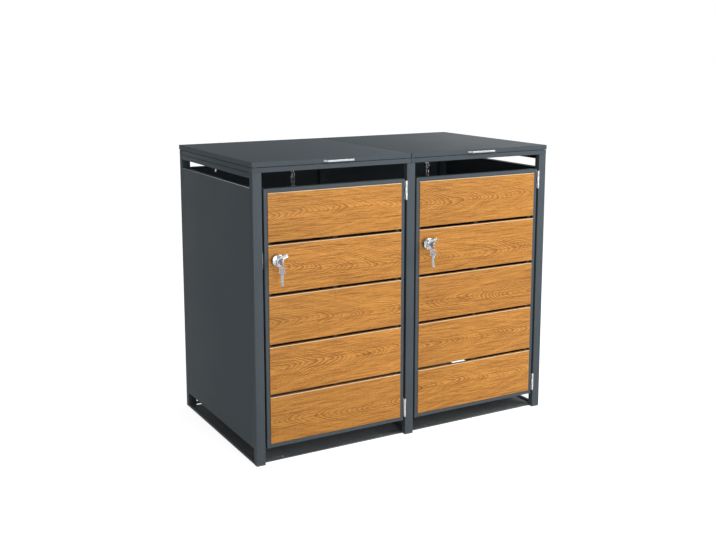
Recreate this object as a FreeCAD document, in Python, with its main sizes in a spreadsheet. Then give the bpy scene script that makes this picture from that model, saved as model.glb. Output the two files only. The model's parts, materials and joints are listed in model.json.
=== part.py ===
# Two-bay wheelie bin store: a steel frame with slatted doors and lift-up lids.
# Millimetres. X runs to the right, Y to the back and Z up. The origin is on the ground,
# in the middle of the frame, under the centre base rail.

import FreeCAD, Part
import Sketcher

import os
import re

SLATS = 5
CHAIN_LINKS = 15
HOOK_LINKS = 3

SIZES = {
    # Frame
    "frame_width": 1380,
    "frame_depth": 785,
    "post_height": 1138,
    "post_width": 37,
    "centre_post_width": 38,
    "post_depth": 27,
    "post_cap": 4,
    "tube_wall": 1.5,
    "edge_round": 1.4,
    "top_rail_height": 19,
    "side_rail_width": 27,
    "rail_seam": 1.5,
    "groove_width": 0.8,
    "groove_depth": 0.4,
    "post_groove": 8,
    "base_rail_height": 10,
    "base_rail_width": 13,
    "sill_setback": 22,
    "sill_depth": 38,
    "sill_sheet": 3,
    "floor_sheet": 1.5,
    "anchor_inset": 92.5,
    "anchor_setback": 21,
    "anchor_hole": 4.5,
    # Walls
    "panel_sheet": 1,
    "panel_flange": 24,
    "panel_fold": 15,
    "wall_strip_height": 19.5,
    "strip_gap": 1.5,
    "top_slot": 37,
    "low_slot": 55,
    "rivet_head": 4.5,
    "rivet_head_height": 1.8,
    "rivet_shank": 1.6,
    "rivet_end_gap": 60,
    "bolt_head": 5,
    "bolt_head_height": 1.4,
    "bolt_shank": 2.5,
    "bolt_play": 0.2,
    # Doors
    "door_ground_gap": 65,
    "door_top_gap": 61.5,
    "latch_gap": 7.5,
    "hinge_gap": 10.5,
    "door_member": 15,
    "door_depth": 24,
    "slat_sheet": 18,
    "slat_proud": 2,
    "slat_gap": 12,
    "slat_edge_gap": 1,
    "slat_end_gap": 0.5,
    "slat_round": 2,
    "strap_width": 16,
    "strap_sheet": 3,
    "screw_head": 4,
    "screw_head_height": 2.4,
    "screw_shank": 2,
    "screw_play": 0.1,
    "screw_bite": 11,
    # Hinges
    "hinge_length": 75,
    "hinge_leaf": 2,
    "hinge_leaf_depth": 20,
    "hinge_knuckle": 4,
    "hinge_bite": 0.75,
    "hinge_pin": 2.3,
    "hinge_pin_play": 0.05,
    "hinge_pin_cap": 3,
    "hinge_pin_cap_height": 1.2,
    "hinge_split": 0.3,
    "hinge_clear": 0.6,
    "door_hinge_top_gap": 8.5,
    "door_hinge_low_gap": 17,
    "lid_hinge_inset": 110,
    # Lock and keys
    "lock_inset": 46,
    "lock_drop": 56.2,
    "rosette_radius": 20,
    "rosette_sheet": 3,
    "collar_radius": 12.5,
    "collar_length": 24,
    "collar_round": 1.5,
    "barrel_radius": 10.5,
    "barrel_play": 0.3,
    "barrel_tail": 2.8,
    "lock_nut_radius": 14,
    "lock_nut_sheet": 5,
    "grip_gap": 0.3,
    "grip_sheet": 7,
    "grip_radius": 13,
    "wing_root_rise": 6,
    "wing_tip_rise": 17,
    "wing_tip_reach": 29,
    "wing_width": 15,
    "plug_radius": 7,
    "plug_play": 0.05,
    "plug_proud": 0.5,
    "cam_clear": 0.5,
    "cam_sheet": 2.5,
    "cam_width": 18,
    "cam_length": 48,
    "cam_screw_radius": 5.5,
    "cam_screw_height": 3,
    "key_sheet": 2.4,
    "key_play": 0.1,
    "key_bow_width": 25,
    "key_bow_length": 27,
    "key_bow_round": 6,
    "key_rim": 3,
    "key_slot_height": 5,
    "key_slot_end": 8,
    "key_neck": 4,
    "key_blade_width": 12,
    "key_blade_length": 43,
    "key_tip": 5,
    "ring_radius": 8,
    "ring_wire": 0.8,
    "ring_play": 0.15,
    "strike_sheet": 2,
    "strike_height": 60,
    "strike_reach": 16,
    "strike_clear": 0.3,
    # Lids
    "lid_gap": 2,
    "lid_height": 19,
    "lid_overhang": 2,
    "lid_seam": 2,
    "lid_sheet": 1.2,
    "lid_round": 2,
    "stiffener_width": 40,
    "stiffener_inset": 3,
    "buffer_radius": 6,
    "buffer_inset": 60,
    "handle_length": 160,
    "handle_shift": 8,
    "handle_reach": 17,
    "handle_splay": 18,
    "handle_bar": 5,
    "handle_height": 7,
    "handle_round": 1.6,
    # Chains
    "stud_radius": 2.5,
    "stud_length": 12,
    "stud_knob_radius": 4.5,
    "stud_knob_height": 3,
    "eye_plate_length": 36,
    "eye_plate_width": 14,
    "eye_plate_sheet": 2,
    "eye_wire": 1.7,
    "eye_drop": 14,
    "eye_half": 12,
    "chain_pitch": 12,
    "chain_wire": 1,
    "chain_inner": 2,
    "chain_play": 0.2,
    "hook_wire": 1.4,
}

# Values worked out from the sizes.
DERIVED = {
    "half_width": "frame_width / 2",
    "half_depth": "frame_depth / 2",
    "bay_width": "(frame_width - 2 * post_width - centre_post_width) / 2",
    "wall_depth": "frame_depth - 2 * post_depth",
    "rail_top": "post_height + top_rail_height",
    "panel_bottom": "base_rail_height + low_slot",
    "panel_top": "post_height - strip_gap - wall_strip_height - top_slot",
    "sill_front": "sill_setback - half_depth",
    "floor_front": "sill_front + sill_depth",
    "floor_depth": "half_depth - post_depth - floor_front",
    "ear_depth": "floor_front - post_depth + half_depth",
    "door_width": "bay_width - latch_gap - hinge_gap",
    "door_height": "post_height - door_top_gap - door_ground_gap",
    "slat_length": "door_width - 2 * door_member - 2 * slat_end_gap",
    "slat_height": f"(door_height - 2 * door_member - 2 * slat_edge_gap - {SLATS - 1} * slat_gap)"
                   f" / {SLATS}",
    "slat_pitch": "slat_height + slat_gap",
    "slat_front": "0 - half_depth - slat_proud",
    "slat_back": "slat_front + slat_sheet",
    "strap_back": "slat_back + strap_sheet",
    "hinge_out": "hinge_knuckle + hinge_clear",
    "hinge_knuckle_length": "(hinge_length - 2 * hinge_split) / 3",
    "lock_z": f"door_ground_gap + door_member + slat_edge_gap + {SLATS - 2} * slat_pitch"
              " + slat_height - lock_drop",
    "grip_front": "slat_front - collar_length - grip_gap - grip_sheet",
    "plug_front": "grip_front - plug_proud",
    "wing_lift": "wing_tip_rise - wing_root_rise",
    "wing_length": "sqrt(wing_tip_reach * wing_tip_reach + wing_lift * wing_lift)",
    "wing_side_x": "wing_width / 2 * wing_lift / wing_length",
    "wing_side_z": "wing_width / 2 * wing_tip_reach / wing_length",
    "strike_front": "door_depth + strike_clear - half_depth",
    "cam_front": "strike_front + strike_sheet + cam_clear",
    "barrel_end": "cam_front - cam_clear / 2",
    "key_slot_length": "key_bow_width - 2 * key_rim",
    "key_shoulder": "key_bow_length - key_slot_end",
    "key_slot_y": "plug_front - key_neck - key_shoulder",
    "ring_bar": "(key_slot_length + key_rim) / 2",
    "ring_drop": "ring_radius - ring_wire - ring_play"
                 " - sqrt(key_rim * key_rim + key_sheet * key_sheet) / 2",
    "ring_z": "lock_z - ring_bar - ring_drop",
    "lid_bottom": "rail_top + lid_gap",
    "lid_width": "half_width + lid_overhang - lid_seam / 2",
    "lid_depth": "frame_depth + 2 * lid_overhang",
    "lid_front": "0 - half_depth - lid_overhang",
    "lid_hinge_y": "half_depth + lid_overhang + hinge_leaf + hinge_knuckle - hinge_bite",
    "lid_hinge_z": "rail_top + lid_gap / 2",
    "stiffener_height": "lid_height - lid_sheet",
    "chain_z": "lid_bottom - eye_plate_sheet - eye_drop",
    "chain_half": "(chain_pitch - 2 * chain_wire) / 2",
}

LEFT_BAY = "(post_width - half_width)"
RIGHT_BAY = "(centre_post_width / 2)"
LEFT_LID = "(0 - half_width - lid_overhang)"
RIGHT_LID = "(lid_seam / 2)"
ALONG = {"X": FreeCAD.Vector(1, 0, 0), "Y": FreeCAD.Vector(0, 1, 0), "Z": FreeCAD.Vector(0, 0, 1)}

doc = FreeCAD.newDocument("bin_store")
sheet = doc.addObject("Spreadsheet::Sheet", "Dims")
for row, (size_name, size_value) in enumerate(SIZES.items(), 1):
    sheet.set(f"A{row}", size_name)
    sheet.set(f"B{row}", str(size_value))
    sheet.setAlias(f"B{row}", size_name)
doc.recompute()

pieces = []


def bound(text):
    """Return the text with each size read from the sheet and each derived value written out."""
    def swap(match):
        word = match.group(0)
        if word in DERIVED:
            return "(" + bound(DERIVED[word]) + ")"
        return "Dims." + word if word in SIZES else word
    return re.sub(r"[a-z][a-z_0-9]*", swap, text)


def number(text):
    """Work a text out from the sheet."""
    return float(sheet.evalExpression(bound(text)))


def place(item, corner, rotation=FreeCAD.Rotation()):
    """Turn an object and tie its corner to the sheet."""
    item.Placement = FreeCAD.Placement(FreeCAD.Vector(), rotation)
    for axis, text in zip("xyz", corner):
        item.setExpression("Placement.Base." + axis, bound(text))
    return item


def keep(item, label):
    """Give an object its node's name and list it as a finished piece."""
    item.Label = label
    pieces.append(item)
    return item


def box(name, corner, size):
    item = doc.addObject("Part::Box", name)
    for side, text in zip(("Length", "Width", "Height"), size):
        item.setExpression(side, bound(text))
    return place(item, corner)


def cylinder(name, centre, radius, length, along="Z"):
    item = doc.addObject("Part::Cylinder", name)
    item.setExpression("Radius", bound(radius))
    item.setExpression("Height", bound(length))
    return place(item, centre, FreeCAD.Rotation(ALONG["Z"], ALONG[along]))


def fuse(name, shapes):
    item = doc.addObject("Part::MultiFuse", name)
    item.Shapes = shapes
    item.Refine = True
    return item


def cut(name, base, tools):
    item = doc.addObject("Part::Cut", name)
    item.Base = base
    item.Tool = tools[0] if len(tools) == 1 else fuse(name + "_tools", tools)
    return item


def group(name, solids):
    item = doc.addObject("Part::Compound", name)
    item.Links = solids
    return item


def pan(name, corner, size, wall, open_axis, open_up=True):
    """A folded sheet tray: a box with one side open, the one at the end of open_axis."""
    inner_corner = []
    inner_size = []
    for axis, start, length in zip("XYZ", corner, size):
        open_here = axis == open_axis
        shift = "-" if open_here and not open_up else "+"
        inner_corner.append(f"{start} {shift} {wall}")
        inner_size.append(length if open_here else f"{length} - 2 * {wall}")
    return cut(name, box(name + "_outer", corner, size), [box(name + "_inner", inner_corner, inner_size)])


def new_body(name):
    return doc.addObject("PartDesign::Body", name)


def origin_plane(body, role):
    return [feature for feature in body.Origin.OriginFeatures if feature.Role == role][0]


def sketch_on(body, name, role):
    sketch = body.newObject("Sketcher::SketchObject", name)
    sketch.AttachmentSupport = [(origin_plane(body, role), "")]
    sketch.MapMode = "FlatFace"
    return sketch


def outline(sketch, corners):
    """Add a closed outline whose corners are tied to the sheet."""
    first = sketch.GeometryCount
    spots = [FreeCAD.Vector(number(x), number(y), 0) for x, y in corners]
    count = len(spots)
    for index in range(count):
        sketch.addGeometry(Part.LineSegment(spots[index], spots[(index + 1) % count]))
    for index in range(count):
        after = first + (index + 1) % count
        sketch.addConstraint(Sketcher.Constraint("Coincident", first + index, 2, after, 1))
    for index, (x, y) in enumerate(corners):
        for kind, text in (("DistanceX", x), ("DistanceY", y)):
            rule = sketch.addConstraint(Sketcher.Constraint(kind, -1, 1, first + index, 1, number(text)))
            sketch.setExpression(f"Constraints[{rule}]", bound(text))


def rectangle(sketch, left, low, width, height):
    right = f"{left} + {width}"
    high = f"{low} + {height}"
    outline(sketch, [(left, low), (right, low), (right, high), (left, high)])


def circle(sketch, x, y, radius):
    spot = FreeCAD.Vector(number(x), number(y), 0)
    index = sketch.addGeometry(Part.Circle(spot, FreeCAD.Vector(0, 0, 1), number(radius)))
    for kind, text in (("DistanceX", x), ("DistanceY", y)):
        rule = sketch.addConstraint(Sketcher.Constraint(kind, -1, 1, index, 3, number(text)))
        sketch.setExpression(f"Constraints[{rule}]", bound(text))
    rule = sketch.addConstraint(Sketcher.Constraint("Radius", index, number(radius)))
    sketch.setExpression(f"Constraints[{rule}]", bound(radius))


def pad(body, name, sketch, length, back=False, middle=False):
    item = body.newObject("PartDesign::Pad", name)
    item.Profile = sketch
    item.setExpression("Length", bound(length))
    item.Reversed = back
    item.Midplane = middle
    doc.recompute()
    return item


def pocket(body, name, sketch, length, back=False, middle=False):
    item = body.newObject("PartDesign::Pocket", name)
    item.Profile = sketch
    item.setExpression("Length", bound(length))
    item.Reversed = back
    item.Midplane = middle
    doc.recompute()
    return item


def round_edges(body, name, base, edges, radius):
    item = body.newObject("PartDesign::Fillet", name)
    item.Base = (base, edges)
    item.setExpression("Radius", bound(radius))
    doc.recompute()
    return item


def edges_where(shape, test):
    """Names of the straight edges whose middle and direction pass the test."""
    names = []
    for index, edge in enumerate(shape.Edges, 1):
        if not isinstance(edge.Curve, Part.Line):
            continue
        start, end = edge.Vertexes[0].Point, edge.Vertexes[-1].Point
        if test((start + end) * 0.5, (end - start).normalize()):
            names.append(f"Edge{index}")
    return names


def outer_edges(shape, along):
    """Names of the edges that run along an axis at the shape's own corners."""
    limits = shape.BoundBox
    low = FreeCAD.Vector(limits.XMin, limits.YMin, limits.ZMin)
    high = FreeCAD.Vector(limits.XMax, limits.YMax, limits.ZMax)
    across = [index for index, axis in enumerate("XYZ") if axis != along]

    def at_corner(middle, direction):
        inside = [min(middle[i] - low[i], high[i] - middle[i]) for i in across]
        return abs(direction.dot(ALONG[along])) > 0.999 and max(inside) < 0.01
    return edges_where(shape, at_corner)


def tube(name, corner, size, along, cap=None):
    """A rounded box section along one axis, open at both ends, or closed at the top by a cap."""
    body = new_body(name)
    role, across, back = {"X": ("YZ_Plane", (1, 2), False), "Y": ("XZ_Plane", (0, 2), True),
                          "Z": ("XY_Plane", (0, 1), False)}[along]
    width, height = size[across[0]], size[across[1]]
    length = size["XYZ".index(along)]
    hollow = ("tube_wall", "tube_wall", f"{width} - 2 * tube_wall", f"{height} - 2 * tube_wall")
    profile = sketch_on(body, name + "_profile", role)
    rectangle(profile, "0", "0", width, height)
    if cap is None:
        rectangle(profile, *hollow)
    section = pad(body, name + "_section", profile, length, back)
    round_edges(body, name + "_rounding", section, outer_edges(section.Shape, along), "edge_round")
    if cap is not None:
        bore = sketch_on(body, name + "_bore", role)
        rectangle(bore, *hollow)
        pocket(body, name + "_hollow", bore, f"{length} - {cap}", True)
    return place(body, corner)


def headed_pin(name, tip, along, shank, shank_length, head, head_length):
    """A round shank with a head past its far end."""
    axis = "XYZ".index(along)
    seat = list(tip)
    seat[axis] = f"{tip[axis]} + {shank_length}"
    parts = [cylinder(name + "_shank", tip, shank, shank_length, along),
             cylinder(name + "_head", seat, head, head_length, along)]
    return fuse(name, parts)


# Posts: six box sections, each closed by a cap plate that the top rails are bolted to.
POSTS = {}
for end, post_y in (("front", "0 - half_depth"), ("back", "half_depth - post_depth")):
    for side, post_x, width in (("left", "0 - half_width", "post_width"),
                                ("centre", "0 - centre_post_width / 2", "centre_post_width"),
                                ("right", "half_width - post_width", "post_width")):
        POSTS[end, side] = (post_x, post_y, width)

# One bolt goes down through each rail end into the post under it.
BOLTS = {key: [f"{x} + {width} / 2"] for key, (x, y, width) in POSTS.items()}
for end in ("front", "back"):
    BOLTS[end, "centre"] = ["0 - centre_post_width / 4", "centre_post_width / 4"]

back_posts = []
for (end, side), (post_x, post_y, width) in POSTS.items():
    name = f"{end}_{side}_post"
    size = (width, "post_depth", "post_height")
    post = tube(name + "_tube", (post_x, post_y, "0"), size, "Z", "post_cap")
    bolt_y = f"{post_y} + post_depth / 2"
    tools = [cylinder(f"{name}_hole_{i}", (x, bolt_y, "post_height - 2 * post_cap"),
                      "bolt_shank", "3 * post_cap") for i, x in enumerate(BOLTS[end, side])]
    if side != "centre":
        face = post_x if side == "left" else "half_width"
        groove_y = f"{post_y} + post_groove"
        if end == "back":
            groove_y = "half_depth - post_groove - groove_width"
        tools.append(box(name + "_groove", (f"{face} - groove_depth", groove_y, "0 - groove_width"),
                         ("2 * groove_depth", "groove_width", "post_height + 2 * groove_width")))
    solid = cut(name, post, tools)
    if end == "front":
        keep(solid, name)
    else:
        back_posts.append(solid)
keep(group("back_post_set", back_posts), "back_posts")


# Top rails: one pair along the front, one along the back, and three from front to back.
def bolted_rail(name, corner, size, end_x, bolt_spots):
    """A rail with clearance holes for its bolts and its outer end closed by a plate."""
    plate = box(name + "_end_plate", (end_x, f"{corner[1]} + tube_wall", f"{corner[2]} + tube_wall"),
                ("tube_wall", f"{size[1]} - 2 * tube_wall", f"{size[2]} - 2 * tube_wall"))
    rail = fuse(name + "_closed", [tube(name + "_tube", corner, size, "X"), plate])
    holes = [cylinder(f"{name}_hole_{i}", (x, y, "post_height - post_cap"), "bolt_shank + bolt_play",
                      "top_rail_height + 2 * post_cap") for i, (x, y) in enumerate(bolt_spots)]
    return cut(name, rail, holes)


bolts = []
for end in ("front", "back"):
    rail_y = POSTS[end, "left"][1]
    bolt_y = f"{rail_y} + post_depth / 2"
    rails = []
    for side, rail_x, end_x in (("left", "0 - half_width", "0 - half_width"),
                                ("right", "rail_seam / 2", "half_width - tube_wall")):
        outer_x = BOLTS[end, side][0]
        inner_x = BOLTS[end, "centre"][0 if side == "left" else 1]
        spots = [(outer_x, bolt_y), (inner_x, bolt_y)]
        size = ("half_width - rail_seam / 2", "post_depth", "top_rail_height")
        rails.append(bolted_rail(f"{end}_{side}_rail", (rail_x, rail_y, "post_height"), size, end_x, spots))
        for i, (x, y) in enumerate(spots):
            bolts.append(headed_pin(f"{end}_{side}_bolt_{i}", (x, y, "post_height - post_cap"), "Z",
                                    "bolt_shank", "top_rail_height + post_cap",
                                    "bolt_head", "bolt_head_height"))
    keep(group(end + "_rails", rails), end + "_top_rails")

cross_rails = []
for side, rail_x, width in (("left", "0 - half_width", "side_rail_width"),
                            ("centre", "0 - centre_post_width / 2", "centre_post_width"),
                            ("right", "half_width - side_rail_width", "side_rail_width")):
    cross_rails.append(tube(side + "_cross_rail", (rail_x, "post_depth - half_depth", "post_height"),
                            (width, "wall_depth", "top_rail_height"), "Y"))
keep(group("cross_rails", cross_rails), "side_top_rails")

# Walls: folded steel trays between the posts, with an open slot above and below each.
back_x = {"left": LEFT_BAY, "right": RIGHT_BAY}
rivets = []


def moved(spot, axis, text):
    """The same spot with one of its places changed."""
    new_spot = list(spot)
    new_spot[axis] = text
    return new_spot


def riveted_panel(name, corner, size, open_axis, open_up):
    """A wall tray, riveted to the posts through the flange at each of its upright edges."""
    run = "Y" if open_axis == "X" else "X"
    thin, along = "XYZ".index(open_axis), "XYZ".index(run)
    tray = pan(name + "_tray", corner, size, "panel_sheet", open_axis, open_up)
    face = corner[thin] if open_up else f"{corner[thin]} + {size[thin]}"
    far_edge = f"{corner[along]} + {size[along]}"
    tools = []
    for edge, offset in (("near", "panel_fold"), ("far", f"{size[along]} - panel_fold - groove_width")):
        start = moved([corner[0], corner[1], f"{corner[2]} + panel_sheet"], thin, f"{face} - groove_depth")
        extent = moved(["2 * groove_depth", "2 * groove_depth", f"{size[2]} - 2 * panel_sheet"],
                       along, "groove_width")
        groove_corner = moved(start, along, f"{corner[along]} + {offset}")
        tools.append(box(f"{name}_{edge}_groove", groove_corner, extent))
    levels = {"low": f"{corner[2]} + rivet_end_gap", "middle": f"{corner[2]} + {size[2]} / 2",
              "high": f"{corner[2]} + {size[2]} - rivet_end_gap"}
    for edge, shank_start, head_start in (
            ("near", corner[along], f"{corner[along]} + panel_sheet"),
            ("far", f"{far_edge} - panel_sheet", f"{far_edge} - panel_sheet - rivet_head_height")):
        for level, z in levels.items():
            title = f"{name}_{edge}_{level}"
            spot = moved([corner[0], corner[1], z], thin, f"{corner[thin]} + {size[thin]} / 2")
            shank_spot = moved(spot, along, shank_start)
            tools.append(cylinder(title + "_hole", shank_spot, "rivet_shank", "panel_sheet", run))
            rivets.append(fuse(title + "_rivet", [
                cylinder(title + "_shank", shank_spot, "rivet_shank", "panel_sheet", run),
                cylinder(title + "_head", moved(spot, along, head_start), "rivet_head",
                         "rivet_head_height", run)]))
    return cut(name, tray, tools)


panel_height = "(panel_top - panel_bottom)"
SIDE_WALLS = (("left", "0 - half_width", True), ("right", "half_width - panel_flange", False))
for side, panel_x, open_up in SIDE_WALLS:
    keep(riveted_panel(side + "_wall", (panel_x, "post_depth - half_depth", "panel_bottom"),
                       ("panel_flange", "wall_depth", panel_height), "X", open_up), side + "_side_panel")
keep(group("back_walls", [
    riveted_panel(side + "_back_wall", (back_x[side], "half_depth - panel_flange", "panel_bottom"),
                  ("bay_width", "panel_flange", panel_height), "Y", False)
    for side in ("left", "right")]), "back_panels")
keep(group("fixings", bolts + rivets), "frame_fixings")

strip_z = "post_height - strip_gap - wall_strip_height"
strips = [pan(side + "_strip", (x, "post_depth - half_depth", strip_z),
              ("panel_flange", "wall_depth", "wall_strip_height"), "panel_sheet", "X", open_up)
          for side, x, open_up in SIDE_WALLS]
strips += [pan(side + "_back_strip", (back_x[side], "half_depth - panel_flange", strip_z),
               ("bay_width", "panel_flange", "wall_strip_height"), "panel_sheet", "Y", False)
           for side in ("left", "right")]
keep(group("strips", strips), "upper_wall_strips")


def hanging_stud(side, x):
    """A short headed stud under a side strip, to hang the end of a chain on."""
    shank = cylinder(side + "_stud_shank", (x, "0", f"{strip_z} - stud_length"),
                     "stud_radius", "stud_length")
    knob = cylinder(side + "_stud_knob", (x, "0", f"{strip_z} - stud_length - stud_knob_height"),
                    "stud_knob_radius", "stud_knob_height")
    return fuse(side + "_stud", [shank, knob])


keep(group("studs", [hanging_stud("left", "panel_flange / 2 - half_width"),
                     hanging_stud("right", "half_width - panel_flange / 2")]), "chain_studs")

# Base: low rails at the sides and back, a flat sill that bins roll over, and floor sheets.
base_rails = [tube(side + "_base_rail", (x, "post_depth - half_depth", "0"),
                   ("base_rail_width", "wall_depth", "base_rail_height"), "Y")
              for side, x in (("left", "0 - half_width"), ("centre", "0 - base_rail_width / 2"),
                              ("right", "half_width - base_rail_width"))]
base_rails += [tube(side + "_back_base_rail", (back_x[side], "half_depth - base_rail_width", "0"),
                    ("bay_width", "base_rail_width", "base_rail_height"), "X")
               for side in ("left", "right")]
keep(group("base", base_rails), "base_rails")


def sill(side):
    """A flat strip between the front posts, with two holes for ground anchors."""
    strip = box(side + "_sill_strip", (back_x[side], "sill_front", "0"),
                ("bay_width", "sill_depth", "sill_sheet"))
    inset_spots = (f"{back_x[side]} + anchor_inset", f"{back_x[side]} + bay_width - anchor_inset")
    holes = [cylinder(f"{side}_anchor_hole_{i}", (x, "sill_front + anchor_setback", "0 - sill_sheet"),
                      "anchor_hole", "3 * sill_sheet") for i, x in enumerate(inset_spots)]
    return cut(side + "_sill", strip, holes)


keep(group("sills", [sill("left"), sill("right")]), "front_sills")

def floor(side, floor_x):
    """A floor sheet between two base rails, with an ear behind each of the two front posts."""
    floor_width = "(half_width - 1.5 * base_rail_width)"
    sheet = box(side + "_sheet", (floor_x, "floor_front", "0"), (floor_width, "floor_depth", "floor_sheet"))
    bay_end = f"({back_x[side]} + bay_width)"
    ears = [box(f"{side}_{end}_ear", (x, "post_depth - half_depth", "0"),
                (width, "ear_depth", "floor_sheet"))
            for end, x, width in (("near", floor_x, f"{back_x[side]} - {floor_x}"),
                                  ("far", bay_end, f"{floor_x} + {floor_width} - {bay_end}"))]
    return fuse(side + "_floor", [sheet] + ears)


keep(group("floors", [floor("left", "(base_rail_width - half_width)"),
                      floor("right", "(base_rail_width / 2)")]), "floor_panels")


# Hinges. Each has three knuckles in a row: the outer two belong to the fixed leaf and the middle
# one to the moving leaf.
def knuckle_starts(start, fixed):
    """Where each knuckle of a leaf starts, along a hinge that begins at start."""
    places = (0, 2) if fixed else (1,)
    return [f"{start} + {place_number} * (hinge_knuckle_length + hinge_split)" for place_number in places]


def knuckles(name, axis_start, along, fixed):
    """The knuckles of one leaf of the hinge whose axis begins at axis_start."""
    axis = "XYZ".index(along)
    return [cylinder(f"{name}_knuckle_{index}", moved(axis_start, axis, start),
                     "hinge_knuckle", "hinge_knuckle_length", along)
            for index, start in enumerate(knuckle_starts(axis_start[axis], fixed))]


def hinge_bore(name, axis_start, along, fixed):
    """The hole along a leaf's knuckles: tight on the pin in a fixed leaf, free in a moving one."""
    axis = "XYZ".index(along)
    return cylinder(name + "_bore", moved(axis_start, axis, f"{axis_start[axis]} - hinge_split"),
                    "hinge_pin" if fixed else "hinge_pin + hinge_pin_play",
                    "hinge_length + 2 * hinge_split", along)


def hinge_pin(name, axis_start, along):
    axis = "XYZ".index(along)
    low_cap = moved(axis_start, axis, f"{axis_start[axis]} - hinge_pin_cap_height")
    high_cap = moved(axis_start, axis, f"{axis_start[axis]} + hinge_length")
    return fuse(name, [
        cylinder(name + "_rod", axis_start, "hinge_pin", "hinge_length", along),
        cylinder(name + "_low_cap", low_cap, "hinge_pin_cap", "hinge_pin_cap_height", along),
        cylinder(name + "_high_cap", high_cap, "hinge_pin_cap", "hinge_pin_cap_height", along)])


def door_hinge_leaf(name, door_right, z, fixed):
    """A leaf in the gap between door and post, with its tabs forward to the knuckles."""
    axis_start = (f"{door_right} + hinge_gap / 2", "0 - half_depth - hinge_out", z)
    leaf_x = f"{door_right} + hinge_gap - hinge_leaf" if fixed else door_right
    reach = "(hinge_gap / 2 - hinge_knuckle + hinge_bite)"
    tab_x = f"{door_right} + hinge_gap - {reach}" if fixed else door_right
    parts = [box(name + "_plate", (leaf_x, "0 - half_depth", z),
                 ("hinge_leaf", "hinge_leaf_depth", "hinge_length"))]
    for index, start in enumerate(knuckle_starts(z, fixed)):
        parts.append(box(f"{name}_tab_{index}", (tab_x, "0 - half_depth - hinge_out", start),
                         (reach, "hinge_out", "hinge_knuckle_length")))
    parts += knuckles(name, axis_start, "Z", fixed)
    return cut(name, fuse(name + "_blank", parts), [hinge_bore(name, axis_start, "Z", fixed)])


def lid_hinge_leaf(name, x, fixed):
    """A leaf behind the back rail, or behind the lid's rim, with tabs to the knuckles."""
    axis_start = (x, "lid_hinge_y", "lid_hinge_z")
    clear = "(hinge_knuckle + hinge_clear)"
    if fixed:
        plate_start = (x, "half_depth", "post_height")
        plate_size = ("hinge_length", "lid_overhang + hinge_leaf", f"lid_hinge_z - {clear} - post_height")
        tab_z = f"lid_hinge_z - {clear}"
    else:
        plate_start = (x, "half_depth + lid_overhang", f"lid_hinge_z + {clear}")
        plate_size = ("hinge_length", "hinge_leaf",
                      f"lid_bottom + lid_height - lid_round - lid_hinge_z - {clear}")
        tab_z = "lid_hinge_z"
    parts = [box(name + "_plate", plate_start, plate_size)]
    for index, start in enumerate(knuckle_starts(x, fixed)):
        parts.append(box(f"{name}_tab_{index}", (start, plate_start[1], tab_z),
                         ("hinge_knuckle_length", plate_size[1], clear)))
    parts += knuckles(name, axis_start, "X", fixed)
    return cut(name, fuse(name + "_blank", parts), [hinge_bore(name, axis_start, "X", fixed)])


# Keys: the bow has a wide slot for the ring. The key's own frame has the slot's middle at its origin,
# the blade along Y and the sheet lying flat.
def key_body(name):
    body = new_body(name)
    sketch = sketch_on(body, name + "_outline", "XY_Plane")
    bow, blade, neck = "key_bow_width / 2", "key_blade_width / 2", "(key_shoulder + key_neck)"
    end = f"({neck} + key_blade_length)"
    right = [(bow, "0 - key_slot_end"), (bow, "key_shoulder"), (blade, "key_shoulder"),
             (blade, f"{end} - key_tip"), ("key_sheet / 2", end)]
    left = [("0 - " + x, y) for x, y in reversed(right)]
    outline(sketch, right + left)
    plate = pad(body, name + "_plate", sketch, "key_sheet", middle=True)
    slot = sketch_on(body, name + "_slot", "XY_Plane")
    rectangle(slot, "0 - key_slot_length / 2", "0 - key_slot_height / 2",
              "key_slot_length", "key_slot_height")
    holed = pocket(body, name + "_slot_cut", slot, "2 * key_sheet", middle=True)
    half_bow = number(bow)

    def at_bow_corner(middle, way):
        return abs(way.z) > 0.99 and abs(abs(middle.x) - half_bow) < 0.01
    round_edges(body, name + "_rounding", holed, edges_where(holed.Shape, at_bow_corner), "key_bow_round")
    return body


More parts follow.
